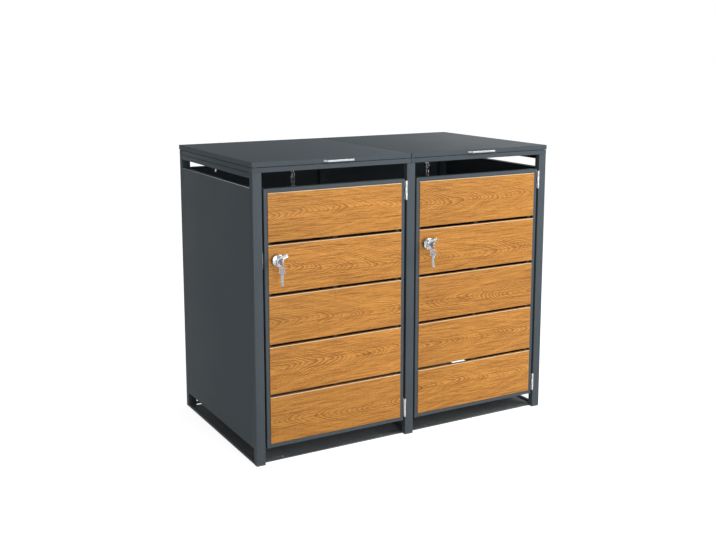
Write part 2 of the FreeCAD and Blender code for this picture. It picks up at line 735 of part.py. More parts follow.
def lock_parts(side, door_x):
    """A cam lock in the second slat: what stays in the door, what turns, and the spare key."""
    x = f"{door_x} + lock_inset"
    to_back = FreeCAD.Rotation(ALONG["Z"], ALONG["Y"])

    housing = new_body(side + "_housing_body")
    half = sketch_on(housing, side + "_housing_profile", "XZ_Plane")
    bore = "plug_radius + plug_play"
    collar_end, back_end = "0 - collar_length", "(barrel_end - slat_front)"
    outline(half, [(bore, collar_end), ("collar_radius - collar_round", collar_end),
                   ("collar_radius", f"{collar_end} + collar_round"),
                   ("collar_radius", "0 - rosette_sheet"),
                   ("rosette_radius - rosette_sheet / 2", "0 - rosette_sheet"),
                   ("rosette_radius", "0 - rosette_sheet / 2"), ("rosette_radius", "0"),
                   ("barrel_radius", "0"), ("barrel_radius", back_end), (bore, back_end)])
    turned = housing.newObject("PartDesign::Revolution", side + "_housing_turned")
    turned.Profile = half
    turned.ReferenceAxis = (half, ["V_Axis"])
    turned.Angle = 360
    doc.recompute()
    place(housing, (x, "slat_front", "lock_z"), to_back)
    nut_spot = (x, "slat_back", "lock_z")
    nut = cut(side + "_nut",
              cylinder(side + "_nut_blank", nut_spot, "lock_nut_radius", "lock_nut_sheet", "Y"),
              [cylinder(side + "_nut_bore", nut_spot, "barrel_radius", "lock_nut_sheet", "Y")])
    keep(group(side + "_lock_case", [housing, nut]), side + "_lock_housing")

    wing = new_body(side + "_wing_body")
    bar = sketch_on(wing, side + "_wing_outline", "XZ_Plane")
    outline(bar, [("0 - wing_side_x", "wing_root_rise + wing_side_z"),
                  ("wing_side_x", "wing_root_rise - wing_side_z"),
                  ("wing_tip_reach + wing_side_x", "wing_tip_rise - wing_side_z"),
                  ("wing_tip_reach - wing_side_x", "wing_tip_rise + wing_side_z")])
    pad(wing, side + "_wing_bar", bar, "grip_sheet", True)
    place(wing, (x, "grip_front", "lock_z"))
    plug_blank = fuse(side + "_plug_blank", [
        cylinder(side + "_plug_rod", (x, "plug_front", "lock_z"), "plug_radius",
                 "cam_front - plug_front", "Y"),
        cylinder(side + "_plug_tang", (x, "cam_front", "lock_z"), "plug_radius / 2", "cam_sheet", "Y"),
        cylinder(side + "_grip", (x, "grip_front", "lock_z"), "grip_radius", "grip_sheet", "Y"),
        cylinder(side + "_wing_tip", (f"{x} + wing_tip_reach", "grip_front", "lock_z + wing_tip_rise"),
                 "wing_width / 2", "grip_sheet", "Y"), wing])
    keyway = box(side + "_keyway", (f"{x} - key_sheet / 2 - key_play", "plug_front - key_play",
                                    "lock_z - key_blade_width / 2 - key_play"),
                 ("key_sheet + 2 * key_play", "key_blade_length + 2 * key_play",
                  "key_blade_width + 2 * key_play"))
    plug = cut(side + "_plug", plug_blank, [keyway])
    cam_screw = cylinder(side + "_cam_screw", (x, "cam_front + cam_sheet", "lock_z"), "cam_screw_radius",
                         "cam_screw_height", "Y")
    keep(group(side + "_plug_set", [plug, cam_screw]), side + "_lock_cylinder")

    cam = new_body(side + "_cam_body")
    plate = sketch_on(cam, side + "_cam_outline", "XY_Plane")
    wide = "cam_width / 2"
    outline(plate, [(wide, "0 - " + wide), (wide, "cam_length"), ("0 - " + wide, "cam_length"),
                    ("0 - " + wide, "0 - " + wide)])
    circle(plate, "0", "0", "plug_radius / 2")
    lever = pad(cam, side + "_cam_plate", plate, "cam_sheet")
    round_edges(cam, side + "_cam_rounding", lever, outer_edges(lever.Shape, "Z"), "cam_width / 3")
    keep(place(cam, (x, "cam_front", "lock_z"), FreeCAD.Rotation(ALONG["X"], -90)), side + "_lock_cam")

    on_edge = FreeCAD.Rotation(ALONG["Y"], 90)
    keep(place(key_body(side + "_key_body"), (x, "key_slot_y", "lock_z"), on_edge), side + "_lock_key")

    ring = doc.addObject("Part::Torus", side + "_ring")
    ring.setExpression("Radius1", bound("ring_radius"))
    ring.setExpression("Radius2", bound("ring_wire"))
    place(ring, (x, "key_slot_y", "ring_z"), to_back)
    spare = key_body(side + "_spare_body")
    blade_down = FreeCAD.Rotation(ALONG["X"], -90).multiply(on_edge)
    place(spare, (x, "key_slot_y", "ring_z - ring_radius + ring_wire + ring_play - key_slot_height / 2"),
          FreeCAD.Rotation(ALONG["Z"], 45).multiply(blade_down))
    keep(group(side + "_spare_set", [ring, spare]), side + "_spare_key")


def strike_plate(side, bay_x):
    """The bracket on the post that the closed door rests on and the cam locks behind."""
    low = "lock_z - strike_height / 2"
    foot = box(side + "_strike_foot", (bay_x, "strike_front - hinge_leaf_depth", low),
               ("strike_sheet", "hinge_leaf_depth + strike_sheet", "strike_height"))
    tab = box(side + "_strike_tab", (bay_x, "strike_front", low),
              ("strike_reach", "strike_sheet", "strike_height"))
    return fuse(side + "_strike", [foot, tab])


def slat(side, index, door_x, straps):
    """One board: rounded front edges, and a blind hole for each screw."""
    name = f"{side}_door_slat_{index}"
    low = f"door_ground_gap + door_member + slat_edge_gap + {SLATS - index} * slat_pitch"
    body = new_body(name + "_board")
    profile = sketch_on(body, name + "_profile", "YZ_Plane")
    rectangle(profile, "0", "0", "slat_sheet", "slat_height")
    board = pad(body, name + "_pad", profile, "slat_length")
    front = edges_where(board.Shape, lambda middle, way: abs(way.x) > 0.99 and middle.y < 0.01)
    round_edges(body, name + "_rounding", board, front, "slat_round")
    place(body, (f"{door_x} + door_member + slat_end_gap", "slat_front", low))
    holes = [cylinder(f"{name}_hole_{i}", (strap_x, "slat_back - screw_bite - screw_play",
                                           f"{low} + slat_height / 2"),
                      "screw_shank + screw_play", "screw_bite + 2 * screw_play", "Y")
             for i, strap_x in enumerate(straps)]
    if index == 2:
        lock_spot = (f"{door_x} + lock_inset", "slat_front - slat_proud", "lock_z")
        holes.append(cylinder(name + "_lock_hole", lock_spot, "barrel_radius + barrel_play",
                              "slat_sheet + 2 * slat_proud", "Y"))
    keep(cut(name, body, holes), name)


def door(side, bay_x):
    """A slatted door: a welded tube frame with three straps behind the slats, hung on its right edge."""
    door_x = f"{bay_x} + latch_gap"
    door_right = f"{door_x} + door_width"
    member_height = "(door_height - 2 * door_member)"
    frame = [tube(f"{side}_stile_{i}", (x, "0 - half_depth", "door_ground_gap"),
                  ("door_member", "door_depth", "door_height"), "Z")
             for i, x in enumerate((door_x, f"{door_right} - door_member"))]
    frame += [tube(f"{side}_member_{i}", (f"{door_x} + door_member", "0 - half_depth", z),
                   ("door_width - 2 * door_member", "door_depth", "door_member"), "X")
              for i, z in enumerate(("door_ground_gap", "post_height - door_top_gap - door_member"))]
    straps = [f"{door_x} + door_member + strap_width / 2", f"{door_x} + door_width / 2",
              f"{door_right} - door_member - strap_width / 2"]
    first_screw = "door_ground_gap + door_member + slat_edge_gap + slat_height / 2"
    screws = []
    for i, strap_x in enumerate(straps):
        levels = [f"{first_screw} + {index} * slat_pitch" for index in range(SLATS)]
        plate = box(f"{side}_strap_{i}_plate", (f"{strap_x} - strap_width / 2", "slat_back",
                                                "door_ground_gap + door_member"),
                    ("strap_width", "strap_sheet", member_height))
        holes = [cylinder(f"{side}_strap_{i}_hole_{n}", (strap_x, "slat_back - screw_play", z),
                          "screw_shank + screw_play", "strap_sheet + 2 * screw_play", "Y")
                 for n, z in enumerate(levels)]
        frame.append(cut(f"{side}_strap_{i}", plate, holes))
        screws += [headed_pin(f"{side}_screw_{i}_{n}", (strap_x, "slat_back - screw_bite", z), "Y",
                              "screw_shank", "screw_bite + strap_sheet", "screw_head", "screw_head_height")
                   for n, z in enumerate(levels)]
    keep(group(side + "_frame_set", frame), side + "_door_frame")
    keep(group(side + "_screw_set", screws), side + "_door_screws")
    for index in range(1, SLATS + 1):
        slat(side, index, door_x, straps)
    lock_parts(side, door_x)

    hinge_levels = {"low": "door_ground_gap + door_hinge_low_gap",
                    "top": "post_height - door_top_gap - door_hinge_top_gap - hinge_length"}
    moving = [door_hinge_leaf(f"{side}_{level}_door_leaf", door_right, z, False)
              for level, z in hinge_levels.items()]
    keep(group(side + "_door_leaves", moving), side + "_door_hinge_leaves")
    fixed = [door_hinge_leaf(f"{side}_{level}_post_leaf", door_right, z, True)
             for level, z in hinge_levels.items()]
    pins = [hinge_pin(f"{side}_{level}_door_pin",
                      (f"{door_right} + hinge_gap / 2", "0 - half_depth - hinge_out", z), "Z")
            for level, z in hinge_levels.items()]
    return fixed, pins


door_fixed, hinge_pins = [], []
for side, bay_x in (("left", LEFT_BAY), ("right", RIGHT_BAY)):
    fixed, pins = door(side, bay_x)
    door_fixed += fixed
    hinge_pins += pins
keep(group("door_fixed", door_fixed), "door_hinge_post_leaves")
keep(group("strikes", [strike_plate("left", LEFT_BAY), strike_plate("right", RIGHT_BAY)]), "strike_plates")


# Chains: small welded links hung double from an eye under each lid.
def link_shape(inner_length, inner_radius, wire):
    """A link with straight sides, standing in the YZ plane round the origin."""
    half = inner_length / 2 - inner_radius
    radius = inner_radius + wire
    parts = []
    for sign in (1, -1):
        centre = FreeCAD.Vector(0, 0, sign * half)
        crown = Part.makeTorus(radius, wire, centre, FreeCAD.Vector(1, 0, 0), -180, 180, 180)
        crown.rotate(centre, FreeCAD.Vector(1, 0, 0), -90 * sign)
        parts.append(crown)
        parts.append(Part.makeCylinder(wire, 2 * half, FreeCAD.Vector(0, sign * radius, -half),
                                       FreeCAD.Vector(0, 0, 1)))
    return parts[0].fuse(parts[1:]).removeSplitter()


def chain(side, x):
    """Two strands, the second one ending in a long snap link, joined by a link lying across."""
    pitch, wire, inner = number("chain_pitch"), number("chain_wire"), number("chain_inner")
    inner_length = pitch + number("chain_play")
    top = number("chain_z") + inner - inner_length / 2
    half = number("chain_half")
    quarter = FreeCAD.Rotation(ALONG["Z"], 90)
    solids = []

    def add(shape, centre, rotation=FreeCAD.Rotation()):
        shape = shape.copy()
        shape.Placement = FreeCAD.Placement(centre, rotation)
        solids.append(shape)

    link = link_shape(inner_length, inner, wire)
    for strand, first in ((-1, 0), (1, HOOK_LINKS)):
        for index in range(first, CHAIN_LINKS):
            rotation = FreeCAD.Rotation() if index % 2 == 0 else quarter
            add(link, FreeCAD.Vector(strand * half, 0, top - index * pitch), rotation)
    hook_length = HOOK_LINKS * pitch + number("chain_play")
    add(link_shape(hook_length, inner, number("hook_wire")),
        FreeCAD.Vector(half, 0, number("chain_z") + inner - hook_length / 2))
    low = top - (CHAIN_LINKS - 1) * pitch - inner_length / 2 - wire
    add(link, FreeCAD.Vector(0, 0, low), FreeCAD.Rotation(ALONG["Y"], 90).multiply(quarter))
    item = doc.addObject("Part::Feature", side + "_chain_links")
    item.Shape = Part.makeCompound(solids)
    item.Placement = FreeCAD.Placement(FreeCAD.Vector(number(x), 0, 0), FreeCAD.Rotation())
    return keep(item, side + "_chain")


def chain_eye(side, x):
    """A wire staple on a plate under the lid's middle stiffener."""
    plate_z = "lid_bottom - eye_plate_sheet"
    parts = [box(side + "_eye_plate", (f"{x} - eye_plate_length / 2", "0 - eye_plate_width / 2", plate_z),
                 ("eye_plate_length", "eye_plate_width", "eye_plate_sheet")),
             cylinder(side + "_eye_bar", (f"{x} - eye_half - eye_wire", "0", "chain_z"), "eye_wire",
                      "2 * eye_half + 2 * eye_wire", "X")]
    for sign in ("-", "+"):
        parts.append(cylinder(f"{side}_eye_leg_{len(parts)}", (f"{x} {sign} eye_half", "0", "chain_z"),
                              "eye_wire", f"{plate_z} - chain_z"))
    return keep(fuse(side + "_eye", parts), side + "_chain_eye")


def handle(side, x):
    """A flat bow handle on the rim, bent from one bar with its legs splayed outwards."""
    body = new_body(side + "_handle_bar")
    sketch = sketch_on(body, side + "_handle_outline", "XY_Plane")
    foot, tip = "handle_length / 2", "(handle_length / 2 - handle_splay)"
    lean = "handle_bar * sqrt(handle_splay * handle_splay + handle_reach * handle_reach) / handle_reach"
    inner_tip = f"({tip} - ({lean}) + handle_bar * handle_splay / handle_reach)"
    half = [(foot, "0"), (tip, "0 - handle_reach")]
    inner = [(inner_tip, "handle_bar - handle_reach"), (f"{foot} - {lean}", "0")]
    mirrored = [(f"0 - ({px})", py) for px, py in reversed(half)]
    outline(sketch, half + mirrored + [(f"0 - ({px})", py) for px, py in reversed(inner)] + inner)
    bar = pad(body, side + "_handle_pad", sketch, "handle_height")
    front_y = 0 - number("handle_reach")
    inner_y = front_y + number("handle_bar")
    bends = edges_where(bar.Shape, lambda middle, way: abs(way.z) > 0.99 and middle.y < inner_y + 0.1)
    bent = round_edges(body, side + "_handle_bends", bar, bends, "handle_bar")

    def at_front(middle, way):
        return abs(way.x) > 0.99 and abs(middle.y - front_y) < 0.01
    round_edges(body, side + "_handle_rounding", bent, edges_where(bent.Shape, at_front), "handle_round")
    place(body, (f"{x} + handle_shift", "lid_front", "lid_bottom + (lid_height - handle_height) / 2"))
    return keep(body, side + "_lid_handle")


def lid(side, lid_x, bay_x):
    """A folded steel lid with channel stiffeners, hinged along its back edge."""
    middle_x = f"{bay_x} + bay_width / 2"
    shell = new_body(side + "_lid_body")
    plan = sketch_on(shell, side + "_lid_plan", "XY_Plane")
    rectangle(plan, "0", "0", "lid_width", "lid_depth")
    block = pad(shell, side + "_lid_block", plan, "lid_height")
    height = number("lid_height")
    rims = edges_where(block.Shape, lambda middle, way: abs(way.z) > 0.99 or middle.z > height - 0.01)
    rounded = round_edges(shell, side + "_lid_rounding", block, rims, "lid_round")
    inside = sketch_on(shell, side + "_lid_inside", "XY_Plane")
    rectangle(inside, "lid_sheet", "lid_sheet", "lid_width - 2 * lid_sheet", "lid_depth - 2 * lid_sheet")
    pocket(shell, side + "_lid_hollow", inside, "lid_height - lid_sheet", True)
    keep(place(shell, (lid_x, "lid_front", "lid_bottom")), side + "_lid_shell")

    bars = []
    bar_y = {"front": "lid_front + lid_sheet + stiffener_inset", "middle": "0 - stiffener_width / 2",
             "back": "half_depth + lid_overhang - lid_sheet - stiffener_inset - stiffener_width"}
    for name, y in bar_y.items():
        outer = box(f"{side}_{name}_bar_outer", (f"{lid_x} + lid_sheet + stiffener_inset", y, "lid_bottom"),
                    ("lid_width - 2 * lid_sheet - 2 * stiffener_inset", "stiffener_width",
                     "stiffener_height"))
        inner = box(f"{side}_{name}_bar_inner",
                    (f"{lid_x} + lid_sheet", f"{y} + lid_sheet", "lid_bottom + lid_sheet"),
                    ("lid_width - 2 * lid_sheet", "stiffener_width - 2 * lid_sheet", "stiffener_height"))
        bars.append(cut(f"{side}_{name}_bar", outer, [inner]))
    keep(group(side + "_bars", bars), side + "_lid_stiffeners")
    handle(side, middle_x)
    chain_eye(side, middle_x)
    chain(side, middle_x)

    spots = {"outer": f"{lid_x} + lid_hinge_inset - hinge_length / 2",
             "inner": f"{lid_x} + lid_width - lid_hinge_inset - hinge_length / 2"}
    keep(group(side + "_lid_leaves", [lid_hinge_leaf(f"{side}_{spot}_lid_leaf", x, False)
                                      for spot, x in spots.items()]), side + "_lid_hinge_leaves")
    fixed = [lid_hinge_leaf(f"{side}_{spot}_rail_leaf", x, True) for spot, x in spots.items()]
    pins = [hinge_pin(f"{side}_{spot}_lid_pin", (x, "lid_hinge_y", "lid_hinge_z"), "X")
            for spot, x in spots.items()]
    buffers = [cylinder(f"{side}_{spot}_buffer", (x, "post_depth / 2 - half_depth", "rail_top"),
                        "buffer_radius", "lid_gap")
               for spot, x in (("outer", f"{lid_x} + buffer_inset"),
                               ("inner", f"{lid_x} + lid_width - buffer_inset"))]
    return fixed, pins, buffers


lid_fixed, buffers = [], []
for side, lid_x, bay_x in (("left", LEFT_LID, LEFT_BAY), ("right", RIGHT_LID, RIGHT_BAY)):
    fixed, pins, pads = lid(side, lid_x, bay_x)
    lid_fixed += fixed
    hinge_pins += pins
    buffers += pads
keep(group("lid_fixed", lid_fixed), "lid_hinge_rail_leaves")
keep(group("pins", hinge_pins), "hinge_pins")
keep(group("buffers", buffers), "lid_buffers")

doc.recompute()
for item in doc.Objects:
    if "Invalid" in item.State or "Error" in item.State:
        raise RuntimeError(f"{item.Name} failed: {item.State}")
for item in pieces:
    if item.Shape.isNull() or not item.Shape.isValid() or not item.Shape.Solids:
        raise RuntimeError(f"{item.Label} has no sound solid")

os.makedirs("parts", exist_ok=True)
for item in pieces:
    item.Shape.exportStep(f"parts/{item.Label}.step")
print(len(pieces), "nodes,", sum(len(item.Shape.Solids) for item in pieces), "solids")
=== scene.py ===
"""A two-bay wheelie bin store: oak boards, chrome locks, zinc hinges and chains on a coated steel frame."""
import json
import math

import bmesh
import bpy
from mathutils import Matrix, Vector

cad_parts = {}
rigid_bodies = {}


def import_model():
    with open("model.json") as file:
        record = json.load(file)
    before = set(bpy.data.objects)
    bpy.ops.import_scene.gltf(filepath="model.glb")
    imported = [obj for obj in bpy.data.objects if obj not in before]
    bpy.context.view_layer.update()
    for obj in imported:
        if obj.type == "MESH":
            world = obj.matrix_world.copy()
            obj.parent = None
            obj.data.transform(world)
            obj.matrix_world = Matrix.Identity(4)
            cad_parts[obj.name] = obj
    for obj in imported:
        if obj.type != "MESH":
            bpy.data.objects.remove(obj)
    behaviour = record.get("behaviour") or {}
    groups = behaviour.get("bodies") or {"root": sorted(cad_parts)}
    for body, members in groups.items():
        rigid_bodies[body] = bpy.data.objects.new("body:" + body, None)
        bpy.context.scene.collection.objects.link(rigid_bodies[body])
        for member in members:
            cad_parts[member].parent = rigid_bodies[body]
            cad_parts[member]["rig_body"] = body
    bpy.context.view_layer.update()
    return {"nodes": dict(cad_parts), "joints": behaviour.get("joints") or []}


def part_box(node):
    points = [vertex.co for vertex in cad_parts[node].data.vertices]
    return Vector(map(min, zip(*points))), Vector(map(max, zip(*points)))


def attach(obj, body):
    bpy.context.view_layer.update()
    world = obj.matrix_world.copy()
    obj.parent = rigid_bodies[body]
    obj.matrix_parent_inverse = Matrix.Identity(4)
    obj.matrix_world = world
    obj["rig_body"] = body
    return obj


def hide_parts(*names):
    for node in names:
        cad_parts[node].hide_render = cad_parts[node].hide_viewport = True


bl_info = {
    "name": "Wheelie bin store",
    "version": (1, 0, 0),
    "blender": (4, 5, 0),
    "location": "View3D > Sidebar > Bin store",
    "description": "Boards, locks, hinges, chains and finishes for a two-bay bin store",
    "category": "Object",
}

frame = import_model()
MM = 0.001
QUARTER = math.pi / 2
SIDES = ("left", "right")
BOARDS = 5
LOCK_BOARD = 2

# The finish of each material slot, that of handles and of the highlight beads, and words in the names of sheet
# metal.
FINISH = {
    "powder_coat": "Anthracite powder coat", "oiled_wood": "Oiled oak boards",
    "zinc_steel": "Zinc-plated steel", "lock_chrome": "Polished chrome",
    "chain_steel": "Bright chain steel", "rubber": "Black rubber",
}
BRUSHED = "Brushed handle steel"
SHEET_WORDS = ("panel", "lid", "sill", "strip")

# The photograph's view; each soft lamp's place, width and the setting of its power; where they aim;
# the way to the dark screen that reflections seem to show; and the floor's width in metres.
CAMERA_SPOT = (-2.1413, -3.7599, 1.5927)
CAMERA_TURN = (QUARTER - 0.16319, 0, -0.5130)
CAMERA_SHIFT = -0.08
SENSOR = 36
LAMPS = {"Key lamp": ((2.6, -3.1, 2.9), 2.5, "key_power"),
         "Fill lamp": ((-0.6, -4.5, 1.3), 1.6, "fill_power"),
         "Back lamp": ((2.2, 1.6, 2.2), 1.5, "back_power")}
LAMP_AIM = (0, 0, 0.5)
SCREEN_WAY = (0.7, 0.7, 0)
FLOOR_SIZE = 60

# Depths of the key's cuts in millimetres, from its tip, one for each of the steps along its blade.
KEY_CUTS = (0, 0, 0.6, 1.6, 1.6, 0.5, 1.9, 1.9, 0.7, 1.1, 1.1, 0.3, 1.5, 1.5, 0.6, 0.9, 0.9, 0)
KEY_STEPS = 24

# The gap round turning pins and plugs, how far the leaves' screws stand out, how many links a snap link
# takes the place of, and the steps round a link.
PLAY = 0.05 * MM
SCREW_PROUD = 0.3 * MM
SNAP_LINKS = 3
LINK_SIDES = 16


# Sizes and colours ---------------------------------------------------------------------------

def amount(title, about, default, **more):
    return bpy.props.FloatProperty(name=title, description=about, default=default, **more)


def size(title, about, millimetres):
    return amount(title, about, millimetres * MM, unit="LENGTH")


def tint(title, about, *default):
    return bpy.props.FloatVectorProperty(name=title, description=about, default=default,
                                         subtype="COLOR", size=3)


class StageSettings(bpy.types.PropertyGroup):
    lens: amount("Lens", "Focal length of the camera in millimetres", 50.38)
    key_power: amount("Key lamp", "Power of the large soft lamp at the right", 110, unit="POWER")
    fill_power: amount("Fill lamp", "Power of the soft lamp beside the camera", 66, unit="POWER")
    back_power: amount("Back lamp", "Power of the soft lamp beyond the right corner", 11, unit="POWER")
    sky: amount("Sky", "Strength of the even light from all round", 0.36, min=0)
    mirrored: amount("Mirrored", "How white the sky and the floor look in reflections", 0.72, min=0, max=1)
    floor_colour: tint("Floor", "Colour of the studio floor", 0.65, 0.65, 0.65)
    floor_glow: amount("Floor glow", "How much the floor is lifted to white where it is seen", 0.8, min=0)


class FinishSettings(bpy.types.PropertyGroup):
    coat: tint("Powder coat", "Anthracite of the frame, panels and lids", 0.068, 0.085, 0.098)
    # One colour serves both for the pale specks low down and for painted light on the floor sheets and sills.
    dust: tint("Dust", "Colour of the dust near the ground", 0.35, 0.34, 0.32)
    oak_pale: tint("Pale oak", "Colour between the grain lines", 0.735, 0.335, 0.072)
    oak_dark: tint("Dark oak", "Colour of the grain lines", 0.24, 0.08, 0.015)
    # A pale colour painted along the boards' upper front edges, as a painted highlight where light catches
    # their rounding.
    oak_edge: tint("Oak edge highlight", "Rubbed colour of the boards' upper front edges", 0.95, 0.8, 0.55)
    zinc: tint("Zinc", "Colour of hinges, screws and bolts", 0.72, 0.73, 0.74)
    chain: tint("Chain", "Colour of the chains and their eyes", 0.97, 0.97, 0.98)
    chrome: tint("Chrome", "Colour of the locks and keys", 0.62, 0.63, 0.65)
    rubber: tint("Rubber", "Colour of the lid buffers", 0.02, 0.02, 0.02)
    grain_spacing: size("Ring spacing", "Distance between growth rings of the oak", 4.2)


class SteelworkSettings(bpy.types.PropertyGroup):
    tube_edge: size("Tube edge", "Radius along the tubes' edges", 1.2)
    sheet_edge: size("Sheet edge", "Radius along the edges of sheet metal", 0.5)
    # A bright bare-metal bead along the fold: a painted highlight of the light that the side walls' top fold
    # catches.
    bead_radius: size("Bead", "Radius of the bright bead along the side walls' top fold", 1.4)


class BoardSettings(bpy.types.PropertyGroup):
    front_round: size("Front rounding", "Radius along the boards' long front edges", 2)
    end_round: size("End rounding", "Small softening of the other edges", 0.4)
    lock_bore: size("Lock bore", "Radius of the hole for the lock's barrel", 10.8)


class LockSettings(bpy.types.PropertyGroup):
    rosette_sheet: size("Rosette", "Thickness of the round plate on the board", 3)
    collar_radius: size("Collar", "Radius of the collar on the rosette", 12.5)
    barrel_radius: size("Barrel", "Radius of the threaded barrel in the board", 10.5)
    nut_radius: size("Nut", "Radius of the nut behind the board", 14)
    nut_sheet: size("Nut thickness", "Thickness of the nut behind the board", 5)
    grip_radius: size("Grip", "Radius of the round grip", 13)
    grip_sheet: size("Grip thickness", "Thickness of the grip and its wing", 7)
    wing_width: size("Wing width", "Width of the short wing on the grip", 15)
    wing_reach: size("Wing reach", "How far the wing reaches sideways", 29)
    wing_rise: size("Wing rise", "How far the wing rises on its way", 11)
    plug_radius: size("Plug", "Radius of the plug that the key turns", 7)


class KeySettings(bpy.types.PropertyGroup):
    sheet: size("Key thickness", "Thickness of the bow", 2.4)
    bow_width: size("Bow width", "Width of the key's bow", 25)
    bow_length: size("Bow length", "Length of the key's bow", 27)
    slot_end: size("Slot place", "From the bow's end to the middle of its slot", 8)
    blade_width: size("Blade width", "Width of the blade before its cuts", 12)
    blade_length: size("Blade length", "Length of the blade past the bow", 47)
    ring_radius: size("Ring", "Radius of the key ring", 8)
    ring_wire: size("Ring wire", "Half the thickness of the ring's wire", 0.8)


class HingeSettings(bpy.types.PropertyGroup):
    length: size("Hinge length", "Length of each hinge", 75)
    knuckle: size("Knuckle", "Radius of the knuckles", 4)
    split: size("Split", "Gap between two knuckles", 0.3)
    clear: size("Clearance", "Gap between knuckles and leaves", 0.6)
    pin: size("Pin", "Radius of the pins", 2.3)
    leaf: size("Leaf", "Thickness of the leaves", 2)
    screw_inset: size("Leaf screw inset", "From a leaf's end to its nearest screw", 12)


class ChainSettings(bpy.types.PropertyGroup):
    links: bpy.props.IntProperty(
        name="Links", description="Links in the longer strand", default=15, min=4)
    pitch: size("Pitch", "Length that each link adds", 12)
    wire: size("Link wire", "Half the thickness of the links' wire", 1)


class HandleSettings(bpy.types.PropertyGroup):
    bar: size("Handle bar", "Thickness of the flat bar", 5)
    splay: size("Splay", "How far each leg leans outwards", 18)


def settings(name):
    return getattr(bpy.context.scene, "bin_store_" + name)


def frame_joint(name):
    """Where a joint's axis passes, at rest."""
    return Vector(next(joint["pos_m"] for joint in frame["joints"] if joint["name"] == name))


# Modelling helpers ---------------------------------------------------------------------------

def corners(node):
    """The low and the high corner of a CAD node's box, as vectors."""
    return [Vector(corner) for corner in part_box(node)]


def at(spot, y):
    """The same place across and up, at another depth."""
    return (spot.x, y, spot.z)


def only(*pieces):
    """Select these objects and nothing else; the first is the active one."""
    bpy.ops.object.select_all(action="DESELECT")
    for piece in pieces:
        piece.select_set(True)
    bpy.context.view_layer.objects.active = pieces[0]


def settle(name):
    """Name the active object and put its place, turn and scale into its mesh."""
    piece = bpy.context.object
    piece.name = piece.data.name = name
    bpy.ops.object.transform_apply(location=True, rotation=True, scale=True)
    return piece


def block(name, low, high):
    """A box between two corners."""
    bpy.ops.object.select_all(action="DESELECT")
    low, high = Vector(low), Vector(high)
    bpy.ops.mesh.primitive_cube_add(size=1, location=(low + high) / 2, scale=high - low)
    return settle(name)


TURNS = {"X": (0, QUARTER, 0), "Y": (-QUARTER, 0, 0), "Z": (0, 0, 0)}


def bar(name, start, radius, length, along, sides=48):
    """A round bar that runs from start along one axis."""
    bpy.ops.object.select_all(action="DESELECT")
    middle = Vector(start)
    middle["XYZ".index(along)] += length / 2
    bpy.ops.mesh.primitive_cylinder_add(vertices=sides, radius=radius, depth=length, location=middle,
                                        rotation=TURNS[along])
    return settle(name)


def ring(name, radius, wire, sides, wire_sides, place=(0, 0, 0), turn=(0, 0, 0)):
    """A closed ring of round wire, shaded smooth."""
    bpy.ops.object.select_all(action="DESELECT")
    bpy.ops.mesh.primitive_torus_add(location=place, rotation=turn, major_radius=radius, minor_radius=wire,
                                     major_segments=sides, minor_segments=wire_sides)
    bpy.ops.object.shade_smooth()
    return settle(name)


def choose(piece, kind, test):
    """In edit mode, select the corners, or the faces or edges whose middle and direction pass the test."""
    bpy.ops.mesh.select_mode(type=kind)
    bpy.ops.mesh.select_all(action="DESELECT")
    mesh = bmesh.from_edit_mesh(piece.data)
    if kind == "FACE":
        for face in mesh.faces:
            face.select_set(test(face.calc_center_median(), face.normal))
    elif kind == "EDGE":
        for edge in mesh.edges:
            first, second = (corner.co for corner in edge.verts)
            edge.select_set(test((first + second) / 2, (second - first).normalized()))
    else:
        for corner in mesh.verts:
            corner.select_set(test(corner.co))
    mesh.select_flush_mode()
    bmesh.update_edit_mesh(piece.data)


def edit(piece, kind, test, *steps):
    """Select part of a piece and carry out edit-mode steps on it."""
    only(piece)
    bpy.ops.object.mode_set(mode="EDIT")
    choose(piece, kind, test)
    for step in steps:
        step()
    bpy.ops.object.mode_set(mode="OBJECT")
    return piece


def bevel(width, segments=3):
    return lambda: bpy.ops.mesh.bevel(offset=width, offset_type="OFFSET", segments=segments, affect="EDGES")


def inset(width, outwards=False):
    return lambda: bpy.ops.mesh.inset(thickness=width, use_outset=outwards)


def push(*shift):
    """Extrude the selected face along a straight line."""
    return lambda: bpy.ops.mesh.extrude_region_move(TRANSFORM_OT_translate={"value": shift})


def slide(*shift):
    return lambda: bpy.ops.transform.translate(value=shift)


def shrink(*factors):
    return lambda: bpy.ops.transform.resize(value=factors)


def spin(steps, angle, centre, axis):
    """Extrude the selected face round a bend."""
    return lambda: bpy.ops.mesh.spin(steps=steps, angle=angle, center=centre, axis=axis)


def faces(axis, sign):
    """A test for the faces that point one way along an axis."""
    return lambda middle, normal: normal["XYZ".index(axis)] * sign > 0.9


def edges(axis, also=lambda middle: True):
    """A test for the edges that run along an axis and whose middle passes one more test."""
    return lambda middle, way: abs(way["XYZ".index(axis)]) > 0.9 and also(middle)


def rim(axis, sign, past):
    """A test for the edges round a bar's end, which lie past a place along its axis."""
    index = "XYZ".index(axis)
    return lambda middle, way: middle[index] * sign > past * sign and abs(way[index]) < 0.1


def soften(piece, width, segments=2, angle=35):
    """Round every edge sharper than the angle, and shade the piece smooth between sharp edges."""
    only(piece)
    rounding = piece.modifiers.new("Soft edges", "BEVEL")
    rounding.width, rounding.segments = width, segments
    rounding.limit_method, rounding.angle_limit = "ANGLE", math.radians(angle)
    rounding.use_clamp_overlap = True
    bpy.ops.object.modifier_apply(modifier=rounding.name)
    bpy.ops.object.shade_smooth_by_angle(angle=math.radians(angle))
    return piece


def drill(piece, cutters):
    """Cut the cutters out of a piece and remove them."""
    for cutter in cutters:
        only(piece)
        hole = piece.modifiers.new("Hole", "BOOLEAN")
        hole.operation, hole.solver, hole.object = "DIFFERENCE", "EXACT", cutter
        bpy.ops.object.modifier_apply(modifier=hole.name)
        bpy.data.objects.remove(cutter)
    return piece


